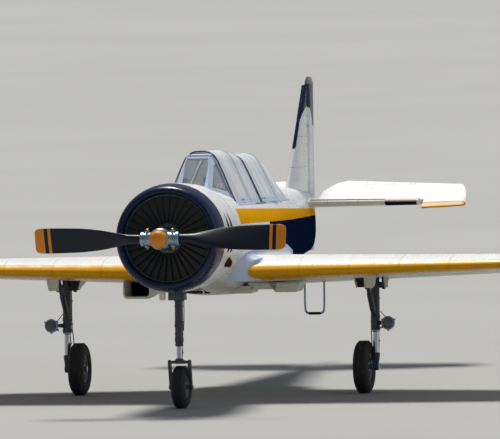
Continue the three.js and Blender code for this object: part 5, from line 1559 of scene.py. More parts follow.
def around(pad, name, body, point, normal, finish):
    """A piped seam where a plane meets the pad's cover."""
    bm = bmesh.new()
    bm.from_mesh(pad.data)
    whole = bm.verts[:] + bm.edges[:] + bm.faces[:]
    bmesh.ops.bisect_plane(bm, geom=whole, plane_co=AIRFRAME @ Vector(point),
                           plane_no=AXES.to_3x3() @ Vector(normal), clear_inner=True, clear_outer=True)
    follow = {}
    for e in bm.edges:
        for a, b in (e.verts, reversed(e.verts)):
            follow.setdefault(a, []).append(b)
    path, last = [next(iter(follow))], None
    while True:
        onward = next((v for v in follow[path[-1]] if v is not last), path[0])
        if onward is path[0]:
            break
        last = path[-1]
        path.append(onward)
    back = AIRFRAME.inverted()
    line = [back @ v.co for v in path[::4]]
    bm.free()
    seam = Kit(name, finish)
    seam.add(shell([[line[i] + (line[i] - line[i - 1]).normalized().cross(Vector(normal)) * 3.2
                     * math.cos(a) + Vector(normal).normalized() * 3.2 * math.sin(a) for a
                     in np.linspace(0, math.tau, 8, False)] for i in [*range(len(line)), 0]], ends=False))
    seam.done(body)


def on_pads(points, pads, towards, lift):
    """Lays points down on the pads, and leaves them this far above."""
    back = AIRFRAME.inverted()
    way = (AXES.to_3x3() @ Vector(towards)).normalized()
    out = []
    for p in points:
        high = AIRFRAME @ (Vector(p) - Vector(towards).normalized() * 120)
        hits = [pad.ray_cast(high, way, distance=0.24) for pad in pads]
        landed = [hit[1] for hit in hits if hit[0]]
        where = min(landed, key=lambda co: (co - high).length) if landed else AIRFRAME @ Vector(p)
        out.append(back @ (where - way * lift * 0.001))
    return out


class TRAINER_OT_cockpits(bpy.types.Operator):
    """Fits out both cockpits: seats with padded covers, harness, panels, sticks and the glare shield"""

    bl_idname = "trainer.cockpits"
    bl_label = "Cockpits"

    def execute(self, context):
        c, sizes = context.scene.trainer_colours, context.scene.trainer_sizes
        shellac = coating("seat_paint", linear("#5d6a68"), 0.5, 320, 0.15, 0.35, (0.42, 0.42, 0.4, 1))
        cover = hide("seat_hide", c.hide)
        edging = hide("seat_piping", linear("#3c3a36"))
        swell = sizes.pad_swell
        for name, y in SEAT_Y.items():
            refinish(shellac, f"seat_{name}")
            low, near, far = SEAT_FLOOR, y - 386, y + back_face(SEAT_FLOOR) - 10
            seat = stuffed(
                f"seat_pad_{name}", "airframe", slab((-176, 176), (near, far), (low + 2, -6), 16, 3),
                cover, swell, rests=[((0, y, low), (0, 0, -1))],
                stitch=lambda p, n: 5 * max(n.z, 0) * sum(math.exp(-((p.x - x) / 4) ** 2) for x in
                                                          (-120, -60, 0, 60, 120)),
                piping=((0, y, -24), (0, 0, 1), edging))
            face = [back_face(z) for z in (-10, 398)]
            corners, faces = slab((-1, 1), (0, 1), (0, 1), 0)
            bm = bmesh.new()
            for px, py, pz in corners:
                z = -2 + 396 * pz
                bm.verts.new((px * (170 - 38 * pz), y + back_face(z) - 2 - 34 * (1 - py), z))
            bm.verts.ensure_lookup_table()
            for f in faces:
                bm.faces.new([bm.verts[i] for i in f])
            bmesh.ops.recalc_face_normals(bm, faces=bm.faces[:])
            bmesh.ops.bevel(bm, geom=bm.edges[:], offset=13, segments=3, affect="EDGES", profile=0.5)
            lean = Vector((0, math.cos(BACK_LEAN), -math.sin(BACK_LEAN)))
            rest = stuffed(
                f"back_pad_{name}", "airframe", from_bmesh(bm), cover, swell,
                rests=[((0, y + face[0] - 0.4, -10), tuple(lean))],
                stitch=lambda p, n: 5 * max(-n.y, 0) * sum(math.exp(-((p.z - z) / 4) ** 2) for z in
                                                           (60, 130, 200, 270, 340)),
                piping=((0, y + face[0] - 20, -10), tuple(lean), edging))
            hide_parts(f"seat_cushion_{name}")
            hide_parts(f"seat_cushion_{name}")
            self.harness(name, y, (seat, rest))
            self.stick(name, y - 460 if name == "front" else y - 480)
        self.panel("front", 2045, sizes.dial_size, [(-165, 150, 1), (-78, 160, 1), (10, 160, 1),
                                                    (98, 160, 1), (182, 150, 0.8), (-178, 62, 0.8),
                                                    (-95, 62, 1), (-8, 62, 1), (80, 62, 0.8),
                                                    (160, 66, 0.8), (-120, -14, 0.7), (-50, -14, 0.7),
                                                    (150, -10, 0.7)])
        self.panel("rear", 3120, sizes.dial_size, [(-160, 150, 1), (-72, 158, 1), (18, 158, 1),
                                                   (108, 152, 1), (186, 130, 0.7), (-170, 60, 0.8),
                                                   (-84, 60, 1), (6, 60, 1), (96, 60, 0.8), (-60, -14, 0.7),
                                                   (60, -14, 0.7)])
        self.glare_shield()
        self.sills(context)
        return {"FINISHED"}

    def harness(self, name, y, pads):
        """Shoulder and lap straps of woven nylon, meeting at a quick-release buckle."""
        belt = webbing("harness_webbing", linear("#4d5240"))
        steel = shared("plated_steel")
        kit = Kit(f"harness_{name}", belt, steel)
        buckle = Vector((0, y - 105, 12))
        for side in (1, -1):
            front = on_pads([(side * (62 - 10 * k), y + back_face(z) - 46, z) for k, z in
                             enumerate((396, 330, 260, 190, 120, 70))], pads, (0, 1, 0), 2.2)
            seat = on_pads([(side * 16, y - 40, 10), (side * 12, y - 84, 10)], pads, (0, 0, -1), 2.6)
            over = [(side * 62, y + 118, 400), (side * 62, y + 122, 440), (side * 62, y + 96, 452)]
            path = smooth_path([*over, *front, *seat], 5)
            kit.add(strip(path, 44, 2.2, (1, 0, 0)))
            lap = on_pads([(side * (150 - 28 * k), y - 60 - 9 * k, 10) for k in range(5)],
                          pads, (0, 0, -1), 2.6)
            start = [Vector((side * 186, y - 40, 30)), Vector((side * 178, y - 52, 12))]
            kit.add(strip(smooth_path([*start, *lap], 4), 44, 2.2, (0, 1, 0)))
            slot = front[2]
            kit.add(slab((slot.x - 27, slot.x + 27), (slot.y - 5, slot.y - 1),
                         (slot.z - 14, slot.z + 14), 1.5), 1)
            kit.add(slab((side * 180, side * 189), (y - 62, y - 22), (10, 46), 3), 1)
        at = on_pads([buckle], pads, (0, 0, -1), 3)[0]
        kit.add(spun(at, at + Vector((0, 0, 1)),
                     [(0, 30), (9, 30), (12, 27), (12, 20), (17, 19), (19, 15)], 28), 1)
        for turn in range(4):
            a = math.tau * (turn + 0.5) / 4
            out = at + Vector((math.cos(a) * 34, math.sin(a) * 34, 5))
            kit.add(slab((out.x - 13, out.x + 13), (out.y - 13, out.y + 13), (out.z - 2, out.z + 2), 1), 1)
        kit.done("airframe")

    def stick(self, name, y):
        rubber = coating("grip_rubber", linear("#1c1c1d"), 0.62, 420, 0.4, 0.1)
        paint = shared("black_stoving_enamel")
        red = lacquer("button_red", linear("#8d1f18"), 0.3)
        foot, top, head = Vector((0, y, -328)), Vector((0, y - 30, 20)), Vector((0, y - 36, 120))
        kit = Kit(f"stick_{name}", paint, rubber, red)
        kit.add(bar(foot, top, 13.5))
        kit.add(spun(top - Vector((0, 0, 10)), head, [(0, 15), (4, 20), (14, 21), (26, 18), (38, 20),
                                                      (50, 17.5), (62, 20), (76, 18), (92, 21), (104, 20),
                                                      (110, 14)], 28), 1)
        kit.add(bar(head + Vector((6, -2, -14)), head + Vector((12, -24, -14)), 5, sides=12), 2)
        rows = [(0, 70), (4, 70)]
        for k in range(7):
            wide = 64 - 7 * k
            rows += [(8 + 9 * k, wide), (12 + 9 * k, wide - 9)]
        kit.add(spun(foot + Vector((0, 0, 1)), top, [*rows, (74, 15)], 32), 1)
        pipe_path = [foot.lerp(top, 0.6) + Vector((14, 6, 0)), foot.lerp(top, 0.9) + Vector((15, 6, 0)),
                     top + Vector((20, 3, 24))]
        kit.add(pipe(smooth_path(pipe_path, 4), 3.5, 8), 1)
        kit.done("airframe", f"control_stick_{name}", sharp=45)

    def panel(self, name, y, dial_size, dials):
        """A panel in black wrinkle paint, with round instruments behind glass, facing aft."""
        wrinkle = coating("wrinkle_paint", linear("#2b2d2e"), 0.6, 420, 0.8, 0.1)
        dark = coating("dial_face", linear("#0c0d0e"), 0.5, 900, 0.1, 0)
        marks = lacquer("dial_marks", linear("#d8d6c4"), 0.5)
        ring_metal = shared("black_stoving_enamel")
        steel = shared("plated_steel")
        glass = lamp_glass("dial_glass", linear("#eef2f2"))
        kit = Kit(f"panel_{name}", wrinkle, ring_metal, dark, marks, steel, glass)
        half = [(40, -58.6), (40, -60), (244, -60), (250, -54), (250, 205), (244, 236), (232, 252),
                (208, 265), (170, 270)]
        outline = [*half, *[(-x, z) for x, z in reversed(half)]]
        kit.add(shell([[(x, y + at, z) for x, z in outline] for at in (30, 43.5)]))
        inner = [(x * 0.985, z * 0.985 + 0.5) for x, z in outline]
        kit.add(shell([[(x, y + 43.5, z) for x, z in outline], [(x, y + 45, z) for x, z in inner]]))
        flange = [(x * 0.97, z * 0.97) for x, z in outline]
        for first, second, deep in ((outline, outline, 30), (outline, flange, 0), (flange, flange, 29)):
            kit.add(shell([[(x, y, z) for x, z in first], [(x, y + deep, z) for x, z in second]],
                          ends=False))
        kit.add(slab((-40, 40), (y + 4, y + 41), (-329.6, -59), 4))
        size = 500 * dial_size
        face = y + 45
        for x, z, share in dials:
            r = size * share
            at, aft = Vector((x, face - 6, z)), Vector((x, face + 1, z))
            kit.add(spun(at, aft, [(0, r + 3), (8, r + 3), (10, r + 1.5), (10, r - 2), (5, r - 3),
                                   (0, r - 3)], 36, True), 1)
            kit.add(spun(at, aft, [(0, r - 2), (4, r - 2)], 36), 2)
            kit.add(spun(at, aft, [(7.6, r - 2.4), (8.6, r - 2.4)], 36), 5)
            kit.add(bar((x, y + 4, z), (x, y - 42, z), r * 0.86, sides=28), 1)
            kit.add(bar((x, y - 40, z), (x, y - 52, z), r * 0.3, sides=14), 4)
            for k in range(12):
                a = math.tau * k / 12
                out = Vector((math.sin(a), 0, math.cos(a)))
                first = Vector((x, face - 1.6, z)) + out * (r - 10)
                kit.add(strip([first, first + out * (6 if k % 3 == 0 else 4)], 1.4, 0.5, (0, 1, 0)), 3)
            lean = math.radians((x * 7 + z * 5) % 300 - 150)
            out = Vector((math.sin(lean), 0, math.cos(lean)))
            hub = Vector((x, face - 1.2, z))
            kit.add(strip([hub - out * 6, hub + out * (r - 11)], 1.9, 0.6, (0, 1, 0)), 3)
            kit.add(spun(hub, hub + Vector((0, 1, 0)), [(0, 3.4), (1.2, 3)], 12), 1)
            for k in range(4):
                a = math.tau * (k + 0.5) / 4
                spot = Vector((x + (r + 6) * math.sin(a), face, z + (r + 6) * math.cos(a)))
                kit.add(spun(spot, spot + Vector((0, 1, 0)), [(0, 3), (1.4, 2.6)], 10), 4)
        for k in range(9):
            x = -104 + 26 * k
            kit.add(spun((x, face, -44), (x, face + 1, -44), [(0, 6), (3, 5.5), (4, 3)], 12), 4)
            kit.add(bar((x, face + 3, -44), (x, face + 16, -38), 2.2, 3, sides=10), 4)
        kit.done("airframe", f"instrument_panel_{name}", sharp=40)

    def glare_shield(self):
        """The anti-glare cover ahead of the front panel, with the two small boxes that stand on it."""
        matt = coating("anti_glare_cover", linear("#2a2b2e"), 0.8, 380, 0.6, 0.2, (0.12, 0.12, 0.12, 1))
        dark = shared("black_stoving_enamel")
        brown = lacquer("compass_bakelite", linear("#6d3527"), 0.35)
        steel = shared("plated_steel")
        cover = Kit("glare_shield", matt, dark)

        def skin_z(x, y, grow):
            ring = sorted((p[0], p[2]) for p in fuselage_ring(y, grow, 300) if p[2] > 0)
            return float(np.interp(x, [p[0] for p in ring], [p[1] for p in ring]))
        rows = []
        for y in np.linspace(1640, 1999, 16):
            wide = float(np.interp(y, [1640, 1700, 1760, 1900, 1999], [132, 205, 236, 252, 262]))
            xs = np.linspace(wide, -wide, 33)
            top = [(x, y, skin_z(x, y, 1.6)) for x in xs]
            rows.append([*top, *[(x, y, z - 3.2) for x, y, z in reversed(top)]])
        cover.add(shell(rows))
        rows = []
        for y in np.linspace(1996, 2100, 8):
            xs = np.linspace(268, -268, 33)
            drop = 3 * ((y - 1996) / 104) ** 2
            top = [(x, y, skin_z(x, y, -4) - drop) for x in xs]
            rows.append([*top, *[(x, y, z - 4) for x, y, z in reversed(top)]])
        cover.add(shell(rows))
        lip = smooth_path([(x, 2101, skin_z(x, 2100, -4) - 5) for x in np.linspace(268, -268, 17)], 3)
        cover.add(pipe(lip, 6, 10), 1)
        cover.done("airframe")
        boxes = Kit("compass_and_accelerometer", dark, brown, steel)
        for box, foot, (x, y, z), r, finish in (
                (((-190, -111), (1925, 1990), (503, 545)), ((-176, -125), (1940, 1975), (446, 504)),
                 (-150, 1989, 524), 17, 0),
                (((34, 83), (1932, 1985), (508, 556)), ((44, 73), (1944, 1973), (456, 509)),
                 (58, 1984, 532), 18, 1)):
            boxes.add(slab(*box, 9, 3), finish)
            boxes.add(slab(*foot, 5), 2)
            boxes.add(spun((x, y, z), (x, y + 1, z), [(0, r), (4, r), (5, r - 3), (2, r - 4)], 24), 2)
        boxes.done("airframe")

    def sills(self, context):
        """The rails that the hoods run on: drawn channel, painted, screwed along both sills. Between the
        cockpits a length is black, as painted shade for the gap under the hood."""
        painted = shared("frame_enamel")
        dark = shared("black_stoving_enamel")
        steel = shared("plated_steel")
        kit = Kit("hood_rails", painted, steel, dark)
        for side in (1, -1):
            def edge(y, z, out):
                half = sorted((p[2], p[0]) for p in fuselage_ring(y, 0, 200) if p[0] > 0 and p[2] > 0)
                return side * (float(np.interp(z, *zip(*half))) + out)
            for y in range(2040, 4240, 92):
                ys = np.linspace(y, y + 64, 4)
                # Painted shade: the rail between the cockpits takes the black finish
                kit.add(shell([[(edge(s, 286, 0.2), s, 286), (edge(s, 286, 3.4), s, 286),
                                (edge(s, 296, 3.4), s, 297), (edge(s, 297, 0), s, 297)] for s in ys]),
                        2 if 2800 < y < 3300 else 0)
                spot = Vector((edge(y + 32, 291, 3.2), y + 32, 291))
                kit.add(spun(spot, spot + Vector((side, 0, 0.3)), [(0, 3.6), (1.4, 3), (1.8, 1.5)], 8), 1)
        kit.done("airframe")


# Landing gear

MAIN_GEAR = {"y": 2850, "wheel": 1392.5, "leg": 1510, "radius": 250, "width": 150, "bead": 128}
NOSE_GEAR = {"leg": 950, "y": 1010, "radius": 200, "width": 140, "bead": 102}


def gear_finishes(c):
    return (
        # Grey-green enamel brushed and sprayed on steel forgings and tubes, chipped and oily.
        coating("gear_enamel", c.gear, 0.42, 240, 0.12, 0.35, (0.2, 0.2, 0.19, 1)),
        shared("plated_steel"),
        # Hard chrome on the sliding tube, ground and polished, under a film of oil.
        metal("hard_chrome", linear("#c9cdd0"), 0.1, (1, 1, 12), 0.12),
        coating("hose_rubber", linear("#1b1c1e"), 0.7, 500, 0.15, 0.1),
    )


def wheel(name, x, y, gear, outboard):
    """A tyre with its grooves, and a cast wheel with its brake drum, about an axle along X."""
    # Moulded tread rubber, dusty, greyed in patches.
    rubber = coating("tyre_rubber", linear("#2b2b2c"), 0.78, 300, 0.35, 0.5, (0.16, 0.14, 0.12, 1))
    # Sand-cast magnesium, painted grey, with a machined bead seat.
    cast = coating("wheel_enamel", linear("#6d7478"), 0.45, 260, 0.15, 0.3, (0.25, 0.25, 0.25, 1))
    steel = shared("plated_steel")
    drum = metal("brake_iron", linear("#4b4743"), 0.5, (12, 3, 3), 0.6)
    radius, half, bead = gear["radius"], gear["width"] / 2, gear["bead"]
    at, z = Vector((x, y, ground(y, radius))), Vector((outboard, 0, 0))
    tread = []
    for across in (-0.5, -0.25, 0, 0.25, 0.5):
        w = across * half
        tread += [(w - 4, radius), (w - 2.6, radius - 5), (w + 2.6, radius - 5), (w + 4, radius)]
    shoulder = [(half * 0.62, radius - 7), (half * 0.8, radius - 18), (half * 0.93, radius - 36),
                (half, (radius + bead) / 2), (half * 0.965, bead + 36), (half * 0.9, bead + 20),
                (half * 0.78, bead + 8), (half * 0.62, bead)]
    left = [(-w, r) for w, r in reversed(shoulder)]
    profile = [*left, *tread, *shoulder]
    tyre = Kit(f"{name}_tyre_cover", rubber)
    tyre.add(spun(at, at + z, profile, 72, loop=True))
    for side in (1, -1):
        tyre.add(spun(at, at + z, [(side * half * 0.985, bead + 44), (side * half * 1.0, bead + 46),
                                   (side * half * 0.985, bead + 48)], 72, True))
    tyre.done(name, f"{name}_tyre", sharp=34)
    kit = Kit(f"{name}_wheel_casting", cast, steel, drum)
    outer, bore = bead - TOUCH, 20.8
    kit.add(spun(at, at + z, [(-half * 0.66, bore), (-half * 0.66, 46), (-half * 0.6, 50),
                              (-half * 0.34, 55), (-half * 0.2, 66), (-half * 0.2, outer - 24),
                              (-half * 0.4, outer - 13), (-half * 0.62, outer - 9),
                              (-half * 0.7, outer + 4), (-half * 0.66, outer + 5), (-half * 0.6, outer),
                              (half * 0.6, outer), (half * 0.66, outer + 5), (half * 0.7, outer + 4),
                              (half * 0.62, outer - 9), (half * 0.4, outer - 13), (half * 0.2, outer - 24),
                              (half * 0.2, 66), (half * 0.34, 55), (half * 0.6, 50), (half * 0.66, 46),
                              (half * 0.66, bore)], 64, True))
    for k in range(8):
        a = math.tau * k / 8
        out = Vector((0, math.cos(a), math.sin(a)))
        for side in (1, -1):
            face = at + z * side * half * 0.2
            kit.add(spun(face + out * (outer - 38), face + out * (outer - 38) + z * side,
                         [(-1, 13), (3, 13), (4, 11.5), (4, 9), (-1, 9)], 18, True))
            rib = [face + out * 58, face + out * (outer - 20)]
            turned_rib = Matrix.Translation(at) @ spin(1 / 16, "X") @ Matrix.Translation(-at)
            kit.add(strip(rib, 7, 8, (1, 0, 0)), 0, turned_rib)
        hub = at + z * half * 0.34 + out * 40
        kit.add(spun(hub, hub + z, [(0, 5), (12, 5), (13, 3.5)], 6), 1)
    kit.add(spun(at, at - z, [(half * 0.22, outer - 26), (half * 0.58, outer - 26),
                              (half * 0.62, outer - 30), (half * 0.62, 52), (half * 0.22, 52)],
                 56, True), 2)
    kit.done(name, f"{name}_rim", sharp=34)


class TRAINER_OT_main_gear(bpy.types.Operator):
    """Builds both main legs with their links, braces and landing lamps, and their braked wheels"""

    bl_idname = "trainer.main_gear"
    bl_label = "Main gear"

    def execute(self, context):
        c = context.scene.trainer_colours
        enamelled, steel, chrome, rubber = gear_finishes(c)
        cream = shared("gear_bay_enamel")
        # Painted shade: the dark primer on the block deep in each wheel bay
        dark = shared("bay_shadow_primer")
        y, lx = MAIN_GEAR["y"], MAIN_GEAR["leg"]
        axle = ground(y, MAIN_GEAR["radius"])
        for name, side in SIDES:
            turn = None if side > 0 else MIRROR
            wing = wing_room(1100, 1900, 12, 40, turn)
            leg = Kit(f"main_leg_{name}_tubes", enamelled, steel, chrome, rubber, turn=turn)
            top, foot = Vector((lx, y, -330)), Vector((lx, y, -930))
            leg.add(spun(top, foot, [(0, 40), (150, 40), (154, 47), (196, 47), (200, 40), (452, 40),
                                     (456, 44), (486, 44), (490, 40), (560, 40), (564, 45), (596, 45),
                                     (600, 41)], 40))
            leg.add(spun((lx, y, -922), (lx, y, -948),
                         [(0, 38), (4, 42), (18, 42), (22, 36), (26, 30)], 6), 1)
            leg.add(bar((lx, y, -925), (lx, y, axle + 90), 28, sides=32), 2)
            leg.add(spun((lx, y, axle + 136), (lx, y, axle + 50), [(0, 30), (6, 37), (40, 37), (52, 34),
                                                                   (86, 30)], 32))
            leg.add(link((lx, y, axle + 60), (lx - 2, y, axle), (28, 35), (46, 50)))
            leg.add(bar((lx + 22, y, axle), (lx - 190, y, axle), 20, sides=28), 1)
            leg.add(spun((lx - 174, y, axle), (lx - 192, y, axle), [(0, 32), (14, 32), (18, 28)], 6), 1)
            leg.add(spun((lx + 20, y, axle), (lx + 30, y, axle), [(0, 26), (6, 26), (10, 20), (10, 8),
                                                                  (7, 6)], 24), 1)
            middle = Vector((lx, y + 118, (axle + 90 - 880) / 2))
            roots = [Vector((lx, y + 45, z)) for z in (-880, axle + 90)]
            scissors(leg, roots, middle, 14, 0.45, ((13, 11), (10, 8)), (0.35, (9, 8), (18, 12)),
                     (26, 18, 6))
            for root in roots:
                leg.add(link(root, (lx, y + 20, root.z), (12, 20), (16, 30)))
            low, high = Vector((lx - 12, y - 22, -792)), Vector((lx - 8, y - 420, -392))
            leg.add(spun(low, high, [(0, 16), (14, 20), (70, 20), (74, 27), (300, 27), (306, 22),
                                     (600, 22)], 28))
            leg.add(link(low, (lx, y, -792), (20, 30), (34, 60)))
            leg.add(bar(low - Vector((30, 0, 0)), low + Vector((34, 0, 0)), 8, sides=16), 1)
            leg.add(bar((lx - 96, y, -500), (lx + 96, y, -500), 29, sides=32))
            for dx in (-84, 84):
                leg.add(link((lx + dx, y, -500), (lx + dx, y, -380), (42, 52), (26, 26)))
                leg.add(spun((lx + dx * 1.1, y, -500), (lx + dx * 1.3, y, -500),
                             [(0, 20), (7, 20), (10, 16)], 6), 1)
            brake = [(lx - 34, y + 30, -420), (lx - 42, y + 22, -560), (lx - 44, y + 12, -760),
                     (lx - 46, y + 16, -900), (lx - 52, y + 52, -1010), (lx - 44, y + 40, axle + 120),
                     (lx - 52, y + 14, axle + 62)]
            leg.add(pipe(smooth_path(brake, 6), 5, 10), 3)
            for z in (-470, -620, -840):
                leg.add(spun((lx, y, z), (lx, y, z - 16), [(0, 41), (0, 44), (16, 44), (16, 41)], 32, True))
                leg.add(slab((lx - 54, lx - 38), (y + 8, y + 28), (z - 16, z), 3), 1)
            leg.done("airframe", f"main_leg_{name}", cuts=[wing], sharp=36)
            bay = Kit(f"gear_bay_{name}", cream, dark, steel, turn=turn)
            front = y - 168
            for finish, (y0, outline), (y1, end) in (
                    (0, (y - 440, ((1488, -399), (1612, -399), (1594, -496), (1574, -520), (1491, -520))),
                     (y - 435, None)),
                    (1, (front + 60, ((1332, -399), (1441, -399), (1437, -520), (1360, -520))),
                     (y + 180, ((1332, -399), (1441, -399), (1437, -430), (1350, -430)))),
                    (0, (front, ((1326, -396), (1332, -396), (1362, -524), (1356, -524))),
                     (y + 180, ((1326, -396), (1332, -396), (1352, -436), (1346, -436)))),
                    (0, (front + 30, ((1612, -396), (1664, -396), (1660, -520), (1630, -531))),
                     (front + 36, None)),
                    (0, (front + 30, ((1612, -396), (1618, -396), (1634, -525), (1628, -525))),
                     (y + 150, ((1612, -396), (1618, -396), (1622, -440), (1616, -440))))):
                bay.add(shell([[(x, y0, z) for x, z in outline],
                               [(x, y1, z) for x, z in end or outline]]), finish)
            for x, z in ((1505, -430), (1590, -430), (1505, -502), (1570, -502)):
                bay.add(spun((x, y - 440, z), (x, y - 441, z), [(0, 6), (1.5, 5.5), (2.2, 3)], 10), 2)
            bay.done("airframe")
            self.lamp(name, turn, enamelled, steel)
            wheel(f"main_wheel_{name}", side * MAIN_GEAR["wheel"], y, MAIN_GEAR, side)
        return {"FINISHED"}

    def lamp(self, name, turn, enamelled, steel):
        # Silvered bowl behind clear pressed glass.
        silvered = metal("silvered_bowl", linear("#b9bec4"), 0.12, soiled=0.1)
        glass = lamp_glass("lamp_lens", linear("#dfe6ea"))
        black = shared("black_stoving_enamel")
        x, z, face = MAIN_GEAR["leg"] + 137, -862, MAIN_GEAR["y"] - 90
        at, aft = Vector((x, face, z)), Vector((x, face + 1, z))
        kit = Kit(f"leg_lamp_{name}_drum", black, steel, silvered, glass, enamelled, turn=turn)
        kit.add(spun(at, aft, [(-2, 62), (4, 66), (12, 66), (14, 63), (22, 62), (48, 48), (64, 34), (70, 14),
                               (70, 0), (62, 0), (60, 30), (44, 44), (20, 57), (2, 58)], 48))
        kit.add(spun(at, aft, [(-5, 55), (-4, 63), (3, 66.4), (9, 66.4), (9, 64), (1, 60), (-2, 55)],
                     48, True), 1)
        kit.add(spun(at, aft, [(4, 56), (20, 50), (36, 36), (44, 16), (46, 4), (47, 4), (46, 17), (38, 37),
                               (22, 51), (6, 57)], 40, True), 2)
        kit.add(spun(at, aft, [(-12, 0), (-11, 20), (-8, 38), (-3, 55), (2, 56), (2, 0)], 48), 3)
        kit.add(spun(at + Vector((0, 24, 0)), aft + Vector((0, 24, 0)),
                     [(0, 3), (4, 8), (14, 8), (22, 5)], 16), 3)
        for dx, dz in ((-62, 34), (-66, -44), (64, 34), (0, -70)):
            spot = Vector((x + dx, face + 8, z + dz))
            kit.add(spun(spot, spot + Vector((0, -1, 0)), [(0, 8), (7, 8), (9, 5)], 8), 1)
            kit.add(link(spot + Vector((0, 6, 0)), (x + dx * 0.8, face + 16, z + dz * 0.8), (8, 12), (5, 5),
                         (0, 1, 0)))
        kit.add(link((x - 56, face + 30, z), (MAIN_GEAR["leg"] + 44, face + 88, z), (14, 22), (24, 40),
                     (0, 0, 1)), 4)
        kit.add(pipe(smooth_path([(x, face + 70, z), (x - 10, face + 100, z + 20),
                                  (x - 50, face + 112, z + 60), (MAIN_GEAR["leg"] + 46, face + 100,
                                                                 z + 110)], 5), 4, 8))
        kit.done("airframe", f"leg_lamp_{name}", sharp=40)


class TRAINER_OT_nose_gear(bpy.types.Operator):
    """Builds the nose leg with its jack and castering fork, and the nose wheel"""

    bl_idname = "trainer.nose_gear"
    bl_label = "Nose gear"

    def execute(self, context):
        c = context.scene.trainer_colours
        enamelled, steel, chrome, rubber = gear_finishes(c)
        y, wy = NOSE_GEAR["leg"], NOSE_GEAR["y"]
        axle = ground(wy, NOSE_GEAR["radius"])
        crown = axle + 222
        leg = Kit("nose_leg_tubes", enamelled, steel, chrome, rubber)
        leg.add(slab((-84, 66), (y - 86, y - 70), (-590, -499), 4))
        leg.add(slab((-84, 66), (y + 30, y + 60), (-590, -499), 6))
        for side in (1, -1):
            leg.add(slab((side * 53 - 9, side * 75 - 9), (y - 88, y + 62), (-590, -499), 5))
            leg.add(spun((side * 75 - 9, y, -545), (side * 80 - 9, y, -545),
                         [(0, 26), (3, 26), (5, 22)], 24), 1)
            leg.add(slab((side * 30, side * 60), (y - 40, y + 60), (-512, -440), 5))
        leg.add(spun((0, y, -512), (0, y, -985), [(0, 40), (30, 46), (84, 46), (90, 38.5), (300, 38.5),
                                                  (304, 43), (330, 43), (334, 38.5), (430, 38.5),
                                                  (434, 42.5), (470, 42.5), (473, 38)], 40))
        leg.add(bar((-66, y, -545), (66, y, -545), 24, sides=28), 1)
        leg.add(spun((0, y + 40, -760), (0, y + 380, -548), [(0, 12), (20, 13), (150, 13), (154, 20),
                                                             (370, 20), (376, 16), (400, 12)], 24))
        leg.add(spun((0, y + 52, -752), (0, y + 190, -666), [(0, 9.5), (160, 9.5)], 20), 2)
        leg.add(link((0, y + 46, -757), (0, y, -757), (16, 36), (30, 52)))
        leg.add(bar((-24, y + 44, -757), (24, y + 44, -757), 7, sides=14), 1)
        leg.add(pipe(smooth_path([(40, y + 30, -560), (44, y + 26, -660), (42, y + 22, -800),
                                  (36, y + 26, -880)], 5), 4.5, 8), 3)
        for z in (-640, -790, -900):
            leg.add(spun((0, y, z), (0, y, z - 12), [(0, 39), (0, 42), (12, 42), (12, 39)], 32, True))
        engine = Kit("engine").add(lathe([(0, 300), (438.6, 300), (438.6, 1359), (0, 1359)], 72))
        leg.done("airframe", "nose_leg", cuts=[engine], sharp=36)
        fork = Kit("nose_fork_forging", enamelled, steel, chrome)
        fork.add(bar((0, y, -986), (0, y, crown + 6), 26, sides=32), 2)
        fork.add(spun((0, y, -985.7), (0, y, -1026), [(0, 34), (3, 38), (34, 38), (40.3, 33)], 36))
        arm = NOSE_GEAR["width"] / 2 + 26
        fork.add(spun((0, y, crown + 50), (0, y, crown - 2), [(0, 30), (8, 38), (52, 42)], 36))
        bm = bmesh.new()
        for p in hull((-arm - 12, y - 30, crown), (arm + 12, y - 30, crown), (-arm - 12, y + 34, crown),
                      (arm + 12, y + 34, crown), (-arm - 12, y - 26, crown + 20),
                      (arm + 12, y - 26, crown + 20), (-arm - 12, y + 30, crown + 20),
                      (arm + 12, y + 30, crown + 20), (-34, y - 28, crown + 34), (34, y - 28, crown + 34),
                      (-34, y + 30, crown + 34), (34, y + 30, crown + 34))[0]:
            bm.verts.new(p)
        bmesh.ops.convex_hull(bm, input=bm.verts[:])
        bmesh.ops.dissolve_limit(bm, angle_limit=0.05, verts=bm.verts[:], edges=bm.edges[:])
        bmesh.ops.bevel(bm, geom=bm.edges[:], offset=5, segments=2, affect="EDGES", profile=0.5)
        fork.add(from_bmesh(bm))
        for side in (1, -1):
            fork.add(link((side * arm, y + 2, crown + 6), (side * arm, wy, axle), (30, 27), (24, 22)))
            fork.add(link((side * (arm + 9), y + 6, crown - 14), (side * (arm + 9), wy - 4, axle + 30),
                          (12, 9), (10, 8)))
            fork.add(spun((side * (arm + 10), wy, axle), (side * (arm + 22), wy, axle),
                          [(0, 30), (3, 30), (5, 22), (9, 22), (12, 18)], 6), 1)
        fork.add(bar((-arm - 20, wy, axle), (arm + 20, wy, axle), 19.6, sides=28), 1)
        knee = Vector((0, y + 118, (-1010 + crown + 30) / 2))
        scissors(fork, (Vector((0, y + 40, -1010)), Vector((0, y + 38, crown + 30))), knee, 12, 0.5,
                 ((11, 10), (9, 7)), (0.3, (8, 7), (16, 10)), (22, 15, 5.5))
        fork.done("nose_fork", "nose_fork", sharp=36)
        wheel("nose_wheel", 0, wy, NOSE_GEAR, 1)
        self.bay_edges()
        return {"FINISHED"}

    def bay_edges(self):
        """The lower cowl's outlet lip and the nose bay's edges."""
        cream = shared("gear_bay_enamel")
        kit = Kit("nose_bay_edges", cream)
        kit.add(slab((-173, -112), (868, 900), (-588, -500), 14, 3))
        path = smooth_path([(-60, 990, -512), (28, 1010, -508), (120, 1040, -500), (190, 1070, -498),
                            (214, 1080, -516), (206, 1084, -540)], 4)
        kit.add(strip(path, 40, 6, (0, 1, 0)))
        kit.done("airframe")


